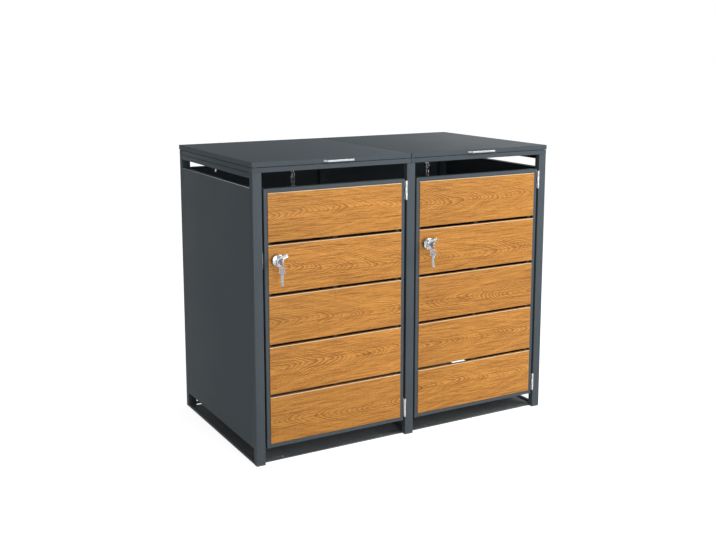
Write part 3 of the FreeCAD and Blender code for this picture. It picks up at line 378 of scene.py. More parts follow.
def copy_of(piece, name, shift=(0, 0, 0), turn=(0, 0, 0)):
    """A copy with its own mesh, turned about the origin and then moved."""
    only(piece)
    bpy.ops.object.duplicate(linked=False)
    bpy.context.object.rotation_euler, bpy.context.object.location = turn, shift
    return settle(name)


def join(name, pieces):
    only(*pieces)
    if len(pieces) > 1:
        bpy.ops.object.join()
    return settle(name)


def copies(master, name, places, turns=None):
    """One piece made of a copy of the master at each place, with its turn if there is one; the master goes."""
    turns = turns or [(0, 0, 0)] * len(places)
    made = join(name, [copy_of(master, name, place, turn) for place, turn in zip(places, turns)])
    bpy.data.objects.remove(master)
    return made


def rounded(name, node, width):
    """A copy of a CAD node with its triangles merged and its edges rounded."""
    piece = bpy.data.objects.new(name, frame["nodes"][node].data.copy())
    bpy.context.collection.objects.link(piece)
    edit(piece, "VERT", lambda corner: True, lambda: bpy.ops.mesh.remove_doubles(threshold=0.01 * MM),
         lambda: bpy.ops.mesh.dissolve_limited(angle_limit=math.radians(1)))
    return soften(piece, width)


def fit(piece, body, slot, *nodes, finish=None):
    """Give a finished piece its body, slot, finish and the CAD nodes it stands for."""
    piece.data.materials.clear()
    piece.data.materials.append(bpy.data.materials[finish or FINISH[slot]])
    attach(piece, body)
    if nodes:
        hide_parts(*nodes)


# Materials -----------------------------------------------------------------------------------

class Nodes:
    """Adds and links nodes of one tree."""

    def __init__(self, tree):
        self.tree = tree

    def add(self, kind, inputs=None, **values):
        node = self.tree.nodes.new(kind)
        for key, value in values.items():
            setattr(node, key, value)
        for key, value in (inputs or {}).items():
            self.feed(node.inputs[key], value)
        return node

    def feed(self, socket, value):
        if isinstance(value, bpy.types.NodeSocket):
            self.tree.links.new(value, socket)
        else:
            socket.default_value = value

    def math(self, operation, first, second=0.0):
        return self.add("ShaderNodeMath", {0: first, 1: second}, operation=operation).outputs[0]

    def plus(self, first, second):
        return self.math("ADD", first, second)

    def minus(self, first, second):
        return self.math("SUBTRACT", first, second)

    def times(self, first, second):
        return self.math("MULTIPLY", first, second)

    def over(self, first, second):
        return self.math("DIVIDE", first, second)

    def apart(self, vector):
        return self.add("ShaderNodeSeparateXYZ", {0: vector}).outputs

    def together(self, x, y, z):
        return self.add("ShaderNodeCombineXYZ", {0: x, 1: y, 2: z}).outputs[0]

    def noise(self, vector, scale, detail=2.0, roughness=0.5):
        """Noise from 0 to 1, with one scale or with a scale for each axis."""
        if isinstance(scale, tuple):
            vector = self.add("ShaderNodeMapping", {"Vector": vector, "Scale": scale}).outputs[0]
            scale = 1.0
        node = self.add("ShaderNodeTexNoise",
                        {"Vector": vector, "Scale": scale, "Detail": detail, "Roughness": roughness})
        return node.outputs[0]

    def wave(self, vector, scale, height, detail=2.0):
        """Noise that swings about 0."""
        return self.times(self.minus(self.noise(vector, scale, detail), 0.5), height)

    def spread(self, value, low, high, to_low=0.0, to_high=1.0):
        return self.add("ShaderNodeMapRange", {"Value": value, "From Min": low, "From Max": high,
                                               "To Min": to_low, "To Max": to_high}).outputs[0]

    def mix(self, factor, first, second, blend="MIX"):
        node = self.add("ShaderNodeMix", data_type="RGBA", blend_type=blend)
        for socket, value in ((node.inputs[0], factor), (node.inputs[6], first), (node.inputs[7], second)):
            self.feed(socket, value)
        return node.outputs[2]


def group(name, inputs, outputs):
    """A new shader node group with named float or vector sockets."""
    tree = bpy.data.node_groups.new(name, "ShaderNodeTree")
    for title, value in inputs.items():
        kind = "NodeSocketVector" if value is None else "NodeSocketFloat"
        socket = tree.interface.new_socket(title, in_out="INPUT", socket_type=kind)
        if value is not None:
            socket.default_value = value
    for title in outputs:
        tree.interface.new_socket(title, in_out="OUTPUT", socket_type="NodeSocketFloat")
    nodes = Nodes(tree)
    return nodes, nodes.add("NodeGroupInput").outputs, nodes.add("NodeGroupOutput").inputs


def board_grain():
    """Flat-sawn oak along X, cut afresh for each board: rings, fibres, pores, its tone, and a painted highlight
    along its top front edge.
    """
    nodes, given, result = group(
        "Board grain",
        {"Vector": None, "Pitch": 0.2, "Gap": 0.01, "First": 0.08, "Front": -0.4, "Spacing": 0.004},
        ("Ring", "Fibre", "Pore", "Tone", "Edge"))
    place = nodes.apart(given["Vector"])
    # Each board, counted up from its door's lowest one, has a number, three random values and its own oak.
    steps = nodes.over(nodes.minus(place["Z"], given["First"]), given["Pitch"])
    row = nodes.math("FLOOR", steps)
    board = nodes.plus(row, nodes.times(nodes.math("SIGN", place["X"]), 31.7))
    chance = nodes.add("ShaderNodeTexWhiteNoise", {"W": board}, noise_dimensions="1D").outputs["Color"]
    dice = nodes.add("ShaderNodeSeparateColor", {0: chance}).outputs
    height = nodes.times(nodes.minus(nodes.minus(steps, row), 0.5), given["Pitch"])
    shift = nodes.together(*(nodes.times(die, 9.0) for die in dice))
    spot = nodes.add("ShaderNodeVectorMath", {0: given["Vector"], 1: shift}, operation="ADD").outputs[0]
    # The rings run out in flames along a line that wanders over the board, and crowd towards its rims.
    across = nodes.plus(height, nodes.wave(spot, (2.2, 3.0, 3.0), 0.1))
    across = nodes.over(nodes.plus(across, nodes.spread(dice[2], 0, 1, -0.02, 0.02)), 0.03)
    flame = nodes.math("POWER", nodes.plus(nodes.times(across, across), 0.03), 0.75)
    taper = nodes.times(nodes.math("SIGN", nodes.minus(dice[1], 0.4)), 0.16)
    swell = nodes.wave(spot, (4.0, 3.0, 3.0), 0.03, 1.0)
    radius = nodes.plus(nodes.times(taper, place["X"]), nodes.plus(nodes.times(flame, 0.012), swell))
    radius = nodes.plus(radius, nodes.times(place["Y"], 0.3))
    ripple = nodes.wave(spot, (14.0, 25.0, 40.0), 0.008)
    ragged = nodes.wave(spot, (80.0, 300.0, 420.0), 0.0025)
    depth = nodes.plus(radius, nodes.plus(ripple, ragged))
    # A ring darkens slowly and ends sharply, and some years are darker than others.
    turn = nodes.math("FRACT", nodes.over(depth, given["Spacing"]))
    line = nodes.times(nodes.math("POWER", turn, 2.0), nodes.spread(turn, 0.92, 1.0, 1.0, 0.0))
    years = nodes.noise(nodes.together(nodes.times(depth, 110.0), board, 0.0), 1.0, 1.0)
    nodes.feed(result["Ring"], nodes.times(line, nodes.spread(years, 0.35, 0.6, 0.3, 1.0)))
    nodes.feed(result["Fibre"], nodes.noise(spot, (8.0, 300.0, 320.0), 4.0, 0.65))
    dashes = nodes.spread(nodes.noise(spot, (40.0, 500.0, 700.0), 2.0), 0.56, 0.68)
    nodes.feed(result["Pore"], nodes.times(dashes, nodes.spread(turn, 0.3, 0.9, 0.25, 1.0)))
    slow = nodes.spread(nodes.noise(spot, (1.5, 6.0, 14.0), 2.0), 0.25, 0.75, 0.0, 0.65)
    nodes.feed(result["Tone"], nodes.plus(nodes.times(dice[1], 0.35), slow))
    # Painted highlight: a strip along the top 1 to 3 mm of the board, on its front alone, where light catches
    # the rounded edge.
    half = nodes.times(nodes.minus(given["Pitch"], given["Gap"]), 0.5)
    upper = nodes.spread(nodes.minus(half, height), 0.0012, 0.0028, 1.0, 0.0)
    front = nodes.spread(nodes.minus(place["Y"], given["Front"]), 0.002, 0.0045, 1.0, 0.0)
    nodes.feed(result["Edge"], nodes.times(upper, front))


def coat_texture():
    """The fine pebbled skin of a powder coat, its faint mottling, pale specks low down, and painted light: a
    pale film on the floor sheets and sills that stands in for light reaching under the doors.
    """
    nodes, given, result = group("Coat texture", {"Vector": None, "Fineness": 900.0},
                                 ("Pebble", "Mottle", "Dust"))
    spot = given["Vector"]
    nodes.feed(result["Pebble"], nodes.noise(spot, given["Fineness"], 2.0, 0.6))
    nodes.feed(result["Mottle"], nodes.noise(spot, 5.0, 3.0, 0.6))
    height = nodes.apart(spot)["Z"]
    low = nodes.spread(height, 0.0, 0.22, 1.0, 0.0)
    specks = nodes.spread(nodes.noise(spot, 46.0, 4.0, 0.7), 0.5, 0.75)
    # Painted light: the floor sheets and sills, up to about 6 mm high, are lightened as if lit under the doors.
    painted_floor_light = nodes.spread(height, 0.0035, 0.006, 1.0, 0.0)
    painted_light_strength = nodes.spread(nodes.noise(spot, 9.0, 3.0, 0.6), 0.3, 0.7, 1.6, 2.6)
    nodes.feed(result["Dust"], nodes.plus(nodes.times(low, specks), nodes.times(painted_floor_light, painted_light_strength)))


def metal_wear():
    """Brushed streaks, soft blotches, which on chrome are painted dark reflections, and fine scratches for bare
    metal.
    """
    nodes, given, result = group("Metal wear", {"Vector": None}, ("Streak", "Blotch", "Scratch"))
    spot = given["Vector"]
    nodes.feed(result["Streak"], nodes.noise(spot, (120.0, 900.0, 1800.0), 2.0))
    nodes.feed(result["Blotch"], nodes.noise(spot, 260.0, 3.0, 0.6))
    scratches = nodes.noise(spot, (2600.0, 300.0, 90.0), 1.0)
    nodes.feed(result["Scratch"], nodes.spread(scratches, 0.66, 0.74))


def material(name):
    """An empty node material with a Principled shader on its output."""
    made = bpy.data.materials.new(name)
    made.use_nodes = True
    nodes = Nodes(made.node_tree)
    shader = made.node_tree.nodes["Principled BSDF"]
    return nodes, shader, nodes.add("ShaderNodeTexCoord").outputs["Object"]


def use(nodes, name, vector, **inputs):
    """A copy of a shared effect in a material, fed by a vector."""
    node = nodes.add("ShaderNodeGroup", node_tree=bpy.data.node_groups[name])
    nodes.feed(node.inputs["Vector"], vector)
    for title, value in inputs.items():
        node.inputs[title].default_value = value
    return node.outputs


def dress(nodes, shader, colour, rough, height, strength, distance):
    """Give a shader its colour, its roughness and a bump of some height."""
    nodes.feed(shader.inputs["Base Color"], colour)
    nodes.feed(shader.inputs["Roughness"], rough)
    relief = nodes.add("ShaderNodeBump", {"Height": height, "Strength": strength, "Distance": distance})
    nodes.feed(shader.inputs["Normal"], relief.outputs[0])


def scaled(colour, share=1.0):
    """A colour made darker or lighter, with its alpha."""
    return (*(channel * share for channel in colour), 1)


def powder_coat(colours):
    nodes, shader, spot = material(FINISH["powder_coat"])
    skin = use(nodes, "Coat texture", spot)
    tone = nodes.spread(skin["Mottle"], 0.3, 0.7, 0.94, 1.06)
    grey = nodes.add("ShaderNodeCombineColor", {0: tone, 1: tone, 2: tone}).outputs[0]
    mottled = nodes.mix(1.0, scaled(colours.coat), grey, "MULTIPLY")
    # Pale specks low down, plus painted light that lifts the floor sheets and sills.
    dusty_and_painted_light = nodes.mix(nodes.times(skin["Dust"], 0.12), mottled, scaled(colours.dust))
    shader.inputs["Specular IOR Level"].default_value = 0.2
    rough = nodes.spread(skin["Mottle"], 0.3, 0.7, 0.62, 0.7)
    dress(nodes, shader, dusty_and_painted_light, rough, skin["Pebble"], 0.25, 0.2 * MM)


def oiled_oak(colours):
    nodes, shader, spot = material(FINISH["oiled_wood"])
    low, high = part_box("left_door_slat_5")
    next_low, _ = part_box("left_door_slat_4")
    gap = next_low[2] - high[2]
    wood = use(nodes, "Board grain", spot, Pitch=next_low[2] - low[2], Gap=gap, First=low[2] - gap / 2,
               Front=low[1], Spacing=colours.grain_spacing)
    pale = nodes.mix(wood["Tone"], scaled(colours.oak_pale, 0.78), scaled(colours.oak_pale))
    ringed = nodes.mix(wood["Ring"], pale, scaled(colours.oak_dark))
    fibrous = nodes.mix(nodes.spread(wood["Fibre"], 0.46, 0.7, 0.0, 0.8), ringed, scaled(colours.oak_dark, 0.8))
    pored = nodes.mix(nodes.times(wood["Pore"], 0.75), fibrous, scaled(colours.oak_dark, 0.45))
    # Painted highlight: the pale edge colour is laid over the top front strip of each board.
    painted_edge_highlight = nodes.mix(nodes.times(wood["Edge"], 0.85), pored, scaled(colours.oak_edge))
    shader.inputs["Specular IOR Level"].default_value = 0.2
    hollows = nodes.plus(wood["Pore"], nodes.times(wood["Ring"], 0.3))
    relief = nodes.minus(nodes.times(wood["Fibre"], 0.3), hollows)
    dress(nodes, shader, painted_edge_highlight, nodes.spread(wood["Fibre"], 0.2, 0.8, 0.42, 0.6), relief, 0.35, 0.4 * MM)


def bare_metal(name, colour, rough, blotch_and_reflection_shade, relief):
    """Plated steel; rough gives the least and greatest roughness, blotch_and_reflection_shade how dark its
    blotches are, which on chrome are painted dark reflections.
    """
    nodes, shader, spot = material(name)
    wear = use(nodes, "Metal wear", spot)
    blotched_and_painted_reflections = nodes.mix(nodes.spread(wear["Blotch"], 0.4, 0.6), scaled(colour, blotch_and_reflection_shade), scaled(colour))
    shader.inputs["Metallic"].default_value = 1.0
    worn = nodes.plus(nodes.spread(wear["Streak"], 0.3, 0.7, *rough), nodes.times(wear["Scratch"], 0.08))
    dress(nodes, shader, blotched_and_painted_reflections, worn, wear["Streak"], relief, 0.05 * MM)


def buffer_rubber(colour):
    nodes, shader, spot = material(FINISH["rubber"])
    skin = use(nodes, "Coat texture", spot, Fineness=1600.0)
    mottled = nodes.mix(nodes.spread(skin["Mottle"], 0.3, 0.7), scaled(colour), scaled(colour, 1.8))
    rough = nodes.spread(skin["Pebble"], 0.3, 0.7, 0.65, 0.85)
    dress(nodes, shader, mottled, rough, skin["Pebble"], 0.3, 0.1 * MM)


# Operators -----------------------------------------------------------------------------------

class BINSTORE_OT_finishes(bpy.types.Operator):
    """Make the finishes and put them on the frame, panels, lids and small steel parts"""
    bl_idname = "bin_store.finishes"
    bl_label = "Finishes"

    def execute(self, context):
        colours = settings("finishes")
        board_grain()
        coat_texture()
        metal_wear()
        powder_coat(colours)
        oiled_oak(colours)
        bare_metal(FINISH["zinc_steel"], colours.zinc, (0.28, 0.4), 0.8, 0.1)
        # On chrome the dark blotches, at half its colour, are painted reflections of dark surroundings.
        bare_metal(FINISH["lock_chrome"], colours.chrome, (0.05, 0.12), 0.5, 0.02)
        bare_metal(FINISH["chain_steel"], colours.chain, (0.1, 0.18), 0.85, 0.05)
        bare_metal(BRUSHED, colours.zinc, (0.22, 0.34), 0.8, 0.08)
        buffer_rubber(colours.rubber)
        for node in frame["nodes"].values():
            for slot in node.material_slots:
                slot.material = bpy.data.materials[FINISH[slot.material.name.split(".")[0]]]
        return {"FINISHED"}


class BINSTORE_OT_steelwork(bpy.types.Operator):
    """Round the edges of the coated tubes, panels and lids, and lay a bright metal bead along the side walls'
    top fold as a painted highlight of the light caught by the fold
    """
    bl_idname = "bin_store.steelwork"
    bl_label = "Steelwork"

    def execute(self, context):
        sizes = settings("steelwork")
        for name, node in list(frame["nodes"].items()):
            if node.material_slots[0].material.name == FINISH["powder_coat"]:
                sheet = any(word in name for word in SHEET_WORDS)
                piece = rounded(name + "_coated", name, sizes.sheet_edge if sheet else sizes.tube_edge)
                fit(piece, node["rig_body"], "powder_coat", name)
        # The bead is a painted highlight: a bright metal rod laid where light catches the walls' top fold.
        radius, end = sizes.bead_radius, 2 * MM
        for side, inward in zip(SIDES, (1, -1)):
            wall = side + "_side_panel"
            low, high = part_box(wall)
            outer = low[0] if side == "left" else high[0]
            start = (outer + inward * radius, low[1] + end, high[2] - 0.2 * radius)
            highlight_bead = bar(side + "_wall_bead", start, radius, high[1] - low[1] - 2 * end, "Y", 16)
            fit(soften(highlight_bead, 0.4 * radius), frame["nodes"][wall]["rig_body"], "zinc_steel", finish=BRUSHED)
        return {"FINISHED"}


class BINSTORE_OT_boards(bpy.types.Operator):
    """Model one door board with rounded edges and copy it to all ten places"""
    bl_idname = "bin_store.boards"
    bl_label = "Door boards"

    def execute(self, context):
        sizes = settings("boards")
        low, high = corners("left_door_slat_1")
        first = block("left_board_1", low, high)
        edit(first, "EDGE", edges("X", lambda middle: middle.y < low.y + MM), bevel(sizes.front_round, 5))
        soften(first, sizes.end_round)
        for side in SIDES:
            for number in range(1, BOARDS + 1):
                node = f"{side}_door_slat_{number}"
                board = first
                if (side, number) != ("left", 1):
                    board = copy_of(first, f"{side}_board_{number}", corners(node)[0] - low)
                if number == LOCK_BOARD:
                    start = at(frame_joint(side + "_lock_turn"), low.y - 5 * MM)
                    drill(board, [bar("cutter", start, sizes.lock_bore, 30 * MM, "Y", 64)])
                fit(board, side + "_door", "oiled_wood", node)
        return {"FINISHED"}


class BINSTORE_OT_screws(bpy.types.Operator):
    """Model one cross-headed screw and copy it to the straps behind the boards"""
    bl_idname = "bin_store.screws"
    bl_label = "Board screws"

    def execute(self, context):
        radius, height, long, short = 4 * MM, 2.4 * MM, 2.4 * MM, 0.5 * MM
        for side in SIDES:
            low, high = corners(side + "_door_screws")
            head = bar("screw_head", (0, -height, 0), radius, height, "Y", 24)
            edit(head, "EDGE", rim("Y", 1, -0.1 * MM), bevel(1.2 * MM, 4))
            drill(head, [block("slot", (-wide, -1.5 * MM, -tall), (wide, MM, tall))
                         for wide, tall in ((long, short), (short, long))])
            soften(head, 0.1 * MM, 1)
            shank = bar("screw_shank", (0, low.y - high.y, 0), 2 * MM, high.y - low.y - height, "Y", 16)
            edit(shank, "FACE", faces("Y", -1), shrink(0.3, 1, 0.3))
            screw = join("screw", [head, soften(shank, 0.1 * MM, 1)])
            across = [low.x + radius, (low.x + high.x) / 2, high.x - radius]
            levels = [low.z + radius + (high.z - low.z - 2 * radius) * step / (BOARDS - 1)
                      for step in range(BOARDS)]
            made = copies(screw, side + "_board_screws", [(x, high.y, z) for x in across for z in levels])
            fit(made, side + "_door", "zinc_steel", side + "_door_screws")
        return {"FINISHED"}


class BINSTORE_OT_locks(bpy.types.Operator):
    """Turn the lock cases, the grips with their wings and plugs, and the cams"""
    bl_idname = "bin_store.locks"
    bl_label = "Locks"

    def execute(self, context):
        sizes = settings("locks")
        models = ((self.case, "_lock_housing", "_door"), (self.grip, "_lock_cylinder", "_lock"),
                  (self.cam, "_lock_cam", "_lock"))
        for side in SIDES:
            spot = frame_joint(side + "_lock_turn")
            for model, word, body in models:
                made = model(side + word + "_piece", spot, *corners(side + word), sizes)
                fit(made, side + body, "lock_chrome", side + word)
        return {"FINISHED"}

    def case(self, name, spot, low, high, sizes):
        """Rosette, grooved collar, barrel through the board and the nut behind it."""
        radius, face, bend, groove, board = (high.x - low.x) / 2, spot.y, 1.4 * MM, 1.2 * MM, 18 * MM
        made = bar(name, at(spot, face - sizes.rosette_sheet), radius, sizes.rosette_sheet, "Y", 64)
        collar = face - sizes.rosette_sheet - low.y
        edit(made, "EDGE", rim("Y", -1, face - MM), bevel(bend, 4))
        edit(made, "FACE", faces("Y", -1), inset(radius - bend - sizes.collar_radius),
             push(0, -0.6 * collar, 0), inset(0.7 * MM), push(0, -groove, 0),
             inset(0.7 * MM, True), push(0, groove - 0.4 * collar, 0))
        edit(made, "FACE", faces("Y", 1), inset(radius - sizes.barrel_radius), push(0, high.y - face, 0))
        nut = bar("nut", at(spot, face + board), sizes.nut_radius, sizes.nut_sheet, "Y", 6)
        drill(nut, [bar("cutter", at(spot, face), sizes.barrel_radius, 40 * MM, "Y", 64)])
        drill(made, [bar("cutter", at(spot, low.y - 5 * MM), sizes.plug_radius + PLAY, 80 * MM, "Y", 64)])
        return join(name, [soften(made, 0.5 * MM, 3, 40), soften(nut, 0.5 * MM)])

    def grip(self, name, spot, low, high, sizes):
        """A round grip with a short wing, the plug with its keyway, and the cam's screw."""
        front, dish = low.y + 0.5 * MM, 0.8 * MM
        knob = bar(name, at(spot, front + dish), sizes.grip_radius, sizes.grip_sheet - dish, "Y", 64)
        edit(knob, "FACE", faces("Y", -1), inset(3.2 * MM), push(0, -dish, 0))
        tip = Vector((sizes.wing_reach, 0, sizes.wing_rise))
        half, deep = sizes.wing_width / 2, sizes.grip_sheet / 2
        wing = block("wing", (-half, -deep, -half), (tip.length + half, deep, half))
        edit(wing, "EDGE", edges("Y"), bevel(half * 0.97, 8))
        edit(wing, "FACE", faces("Y", -1), inset(1.6 * MM), slide(0, 0.7 * MM, 0))
        wing.rotation_euler = (0, -math.atan2(tip.z, tip.x), 0)
        wing.location = (spot.x, front + deep, spot.z + 6 * MM)
        wing = join("wing", [wing])
        cam_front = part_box(name.split("_")[0] + "_lock_cam")[0][1]
        plug = bar("plug", at(spot, low.y), sizes.plug_radius, cam_front - low.y, "Y", 64)
        wide, tall, reach = 1.3 * MM, 6.1 * MM, 43.1 * MM
        for part in (knob, plug):
            drill(part, [block("keyway", (spot.x - wide, low.y - MM, spot.z - tall),
                               (spot.x + wide, low.y + reach, spot.z + tall))])
        tang = bar("tang", at(spot, cam_front), sizes.plug_radius / 2, 2.5 * MM, "Y", 24)
        screw = bar("cam_screw", at(spot, high.y - 3 * MM), 5.5 * MM, 3 * MM, "Y", 32)
        drill(screw, [bar("socket", at(spot, high.y - 1.8 * MM), 2.9 * MM, 4 * MM, "Y", 6)])
        return join(name, [soften(knob, 0.9 * MM, 3, 40), soften(wing, 0.9 * MM, 3, 40),
                           soften(plug, 0.3 * MM, 2, 40), tang, soften(screw, 0.6 * MM, 3)])

    def cam(self, name, spot, low, high, sizes):
        """The flat tongue that turns behind the strike plate."""
        made = block(name, low, high)
        edit(made, "EDGE", edges("Y"), bevel(6 * MM, 5))
        drill(made, [bar("cutter", at(spot, low.y - MM), sizes.plug_radius / 2 + PLAY, 10 * MM, "Y", 24)])
        return soften(made, 0.3 * MM, 2, 40)


class BINSTORE_OT_keys(bpy.types.Operator):
    """Model one key, and copy it into each lock and onto the ring that hangs from it"""
    bl_idname = "bin_store.keys"
    bl_label = "Keys"

    def execute(self, context):
        sizes = settings("keys")
        key = self.key(sizes)
        free = sizes.ring_wire + 0.15 * MM
        turn = (Matrix.Rotation(QUARTER / 2, 3, "Z") @ Matrix.Rotation(-QUARTER, 3, "X")
                @ Matrix.Rotation(QUARTER, 3, "Y")).to_euler()
        for side in SIDES:
            slot_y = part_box(side + "_lock_key")[0][1] + sizes.slot_end
            place = at(frame_joint(side + "_lock_turn"), slot_y)
            inserted = copy_of(key, side + "_key", place, (0, QUARTER, 0))
            fit(inserted, side + "_lock", "lock_chrome", side + "_lock_key")
            pivot = frame_joint(side + "_spare_key_swing")
            middle = Vector((pivot.x, slot_y, pivot.z + free + 1.92 * MM - sizes.ring_radius))
            hoop = ring("ring", sizes.ring_radius, sizes.ring_wire, 64, 12, middle, (QUARTER, 0, 0))
            middle.z += free - sizes.ring_radius - 2.5 * MM
            spare = join(side + "_spare_on_ring", [copy_of(key, side + "_spare", middle, turn), hoop])
            fit(spare, side + "_spare_key", "lock_chrome", side + "_spare_key")
        bpy.data.objects.remove(key)
        return {"FINISHED"}

    def key(self, sizes):
        """A key lying flat, its ring slot at the origin and its blade along Y."""
        half, thick, start = sizes.bow_width / 2, sizes.sheet / 2, sizes.bow_length - sizes.slot_end
        bow = block("bow", (-half, -sizes.slot_end, -thick), (half, start, thick))
        edit(bow, "EDGE", edges("Z"), bevel(6 * MM, 6))
        for sign in (1, -1):
            edit(bow, "FACE", faces("Z", sign), inset(1.5 * MM), slide(0, 0, -sign * 0.35 * MM))
        slot = block("slot", (-9.5 * MM, -2.5 * MM, -5 * MM), (9.5 * MM, 2.5 * MM, 5 * MM))
        edit(slot, "EDGE", edges("Z"), bevel(2.4 * MM, 5))
        drill(bow, [slot])
        width, end = sizes.blade_width / 2, start + sizes.blade_length
        blade = block("blade", (-width, start - MM, -MM), (width, end, MM))
        edit(blade, "EDGE", edges("Y"), lambda: bpy.ops.mesh.subdivide(number_cuts=KEY_STEPS - 1))
        for step, depth in enumerate(KEY_CUTS):
            place = end - (step + 1.5) * (end - start + MM) / KEY_STEPS
            edit(blade, "EDGE", edges("Z", lambda middle: middle.x > width - 2.1 * MM
                                      and abs(middle.y - place) < MM), slide(-depth * MM, 0, 0))
        edit(blade, "FACE", faces("Y", 1), shrink(0.3, 1, 0.6))
        return join("key", [soften(bow, 0.3 * MM, 2, 40), soften(blade, 0.2 * MM, 1, 50)])


def hinge_steps(sizes, places):
    """How far from the hinge's start the knuckle at each place begins and ends."""
    step = (sizes.length + sizes.split) / 3
    return [(place * step, place * step + step - sizes.split) for place in places]


def barrels(start, along, places, bore):
    """The knuckles of one leaf, bored for the pin, along a hinge that begins at start."""
    sizes = settings("hinges")
    axis, made = "XYZ".index(along), []
    for first, last in hinge_steps(sizes, places):
        spot = Vector(start)
        spot[axis] += first
        knuckle = bar("knuckle", spot, sizes.knuckle, last - first, along, 32)
        spot[axis] -= MM
        drill(knuckle, [bar("bore", spot, bore, last - first + 2 * MM, along, 32)])
        made.append(soften(knuckle, 0.4 * MM, 2, 40))
    return made


def pin(start, along):
    """A pin with a domed cap at each end."""
    sizes, height = settings("hinges"), 1.2 * MM
    low, high = Vector(start), Vector(start)
    low["XYZ".index(along)] -= height
    high["XYZ".index(along)] += sizes.length
    caps = [bar("cap", spot, 3 * MM, height, along, 32) for spot in (low, high)]
    return join("pin", [bar("rod", start, sizes.pin, sizes.length, along, 32),
                        *(soften(cap, 0.6 * MM, 3) for cap in caps)])


def leaf(low, high, tabs, thin, way, middle):
    """A plate with rounded corners, the tabs that reach to its knuckles, and flush screws on one face."""
    sizes, index = settings("hinges"), "XYZ".index(thin)
    face = high[index] if way > 0 else low[index] - SCREW_PROUD
    plate = block("leaf", low, high)
    edit(plate, "EDGE", edges(thin), bevel(1.5 * MM))
    parts = [soften(plate, 0.25 * MM)]
    parts += [soften(block("tab", *tab), 0.25 * MM) for tab in tabs]
    for place in (sizes.screw_inset, sizes.length - sizes.screw_inset):
        spot = (face, middle, low[2] + place) if thin == "X" else (low[0] + place, face, middle)
        head = bar("leaf_screw", spot, 3 * MM, SCREW_PROUD, thin, 24)
        edit(head, "FACE", faces(thin, way), inset(0.8 * MM), inset(1.2 * MM))
        parts.append(soften(head, 0.12 * MM))
    return parts


class BINSTORE_OT_door_hinges(bpy.types.Operator):
    """Build the door hinges: a leaf on the post, a leaf on the door and a pin for each"""
    bl_idname = "bin_store.door_hinges"
    bl_label = "Door hinges"

    def execute(self, context):
        sizes = settings("hinges")
        fixed, pins = [], []
        for side in SIDES:
            axis = frame_joint(side + "_door_hinge")
            low, high = corners(side + "_door_hinge_leaves")
            outer, moving = low.x + 2 * (axis.x - low.x), []
            for level in (low.z, high.z - sizes.length):
                start = Vector((axis.x, axis.y, level))
                moving += barrels(start, "Z", (1,), sizes.pin + PLAY)
                moving += self.leaf(low.x, low.x + sizes.leaf, 1, (1,), start, sizes)
                fixed += barrels(start, "Z", (0, 2), sizes.pin)
                fixed += self.leaf(outer - sizes.leaf, outer, -1, (0, 2), start, sizes)
                pins.append(pin(start, "Z"))
            fit(join(side + "_door_leaves", moving), side + "_door", "zinc_steel", side + "_door_hinge_leaves")
        fit(join("post_leaves", fixed), "frame", "zinc_steel", "door_hinge_post_leaves")
        self.pins(pins, sizes)
        return {"FINISHED"}

    def leaf(self, near, far, way, places, start, sizes):
        """One leaf between two planes across X, its screws on the face that looks along way."""
        front = start.y + sizes.knuckle + sizes.clear
        tabs = [((near, start.y, start.z + first), (far, front + MM, start.z + last))
                for first, last in hinge_steps(sizes, places)]
        return leaf((near, front, start.z), (far, front + 20 * MM, start.z + sizes.length), tabs, "X", way,
                    front + 12 * MM)

    def pins(self, pins, sizes):
        """The lid hinges' pins belong to the same node, so all are joined."""
        for side in SIDES:
            axis = frame_joint(side + "_lid_hinge")
            low, high = corners(side + "_lid_hinge_leaves")
            pins += [pin((x, axis.y, axis.z), "X") for x in (low.x, high.x - sizes.length)]
        fit(join("all_hinge_pins", pins), "frame", "zinc_steel", "hinge_pins")


class BINSTORE_OT_lid_hinges(bpy.types.Operator):
    """Build the leaves of the lid hinges behind the back rail"""
    bl_idname = "bin_store.lid_hinges"
    bl_label = "Lid hinges"

    def execute(self, context):
        sizes = settings("hinges")
        rail_low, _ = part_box("lid_hinge_rail_leaves")
        clear, fixed = sizes.knuckle + sizes.clear, []
        for side in SIDES:
            axis = frame_joint(side + "_lid_hinge")
            low, high = corners(side + "_lid_hinge_leaves")
            back, moving = low.y + sizes.leaf, []
            for x in (low.x, high.x - sizes.length):
                start = Vector((x, axis.y, axis.z))
                moving += barrels(start, "X", (1,), sizes.pin + PLAY)
                moving += self.leaf(start, (low.y, axis.z + clear), (back, high.z), (1,), sizes)
                fixed += barrels(start, "X", (0, 2), sizes.pin)
                fixed += self.leaf(start, rail_low[1:], (back, axis.z - clear), (0, 2), sizes)
            fit(join(side + "_lid_leaves", moving), side + "_lid", "zinc_steel", side + "_lid_hinge_leaves")
        fit(join("rail_leaves", fixed), "frame", "zinc_steel", "lid_hinge_rail_leaves")
        return {"FINISHED"}

    def leaf(self, start, low, high, places, sizes):
        """One leaf between two corners in the YZ plane, and the tabs from it to the hinge's axis."""
        near = low[1] if low[1] > start.z else high[1]
        bottom, top = min(near, start.z), max(near, start.z)
        tabs = [((start.x + first, low[0], bottom), (start.x + last, high[0], top))
                for first, last in hinge_steps(sizes, places)]
        return leaf((start.x, *low), (start.x + sizes.length, *high), tabs, "Y", 1, (low[1] + high[1]) / 2)


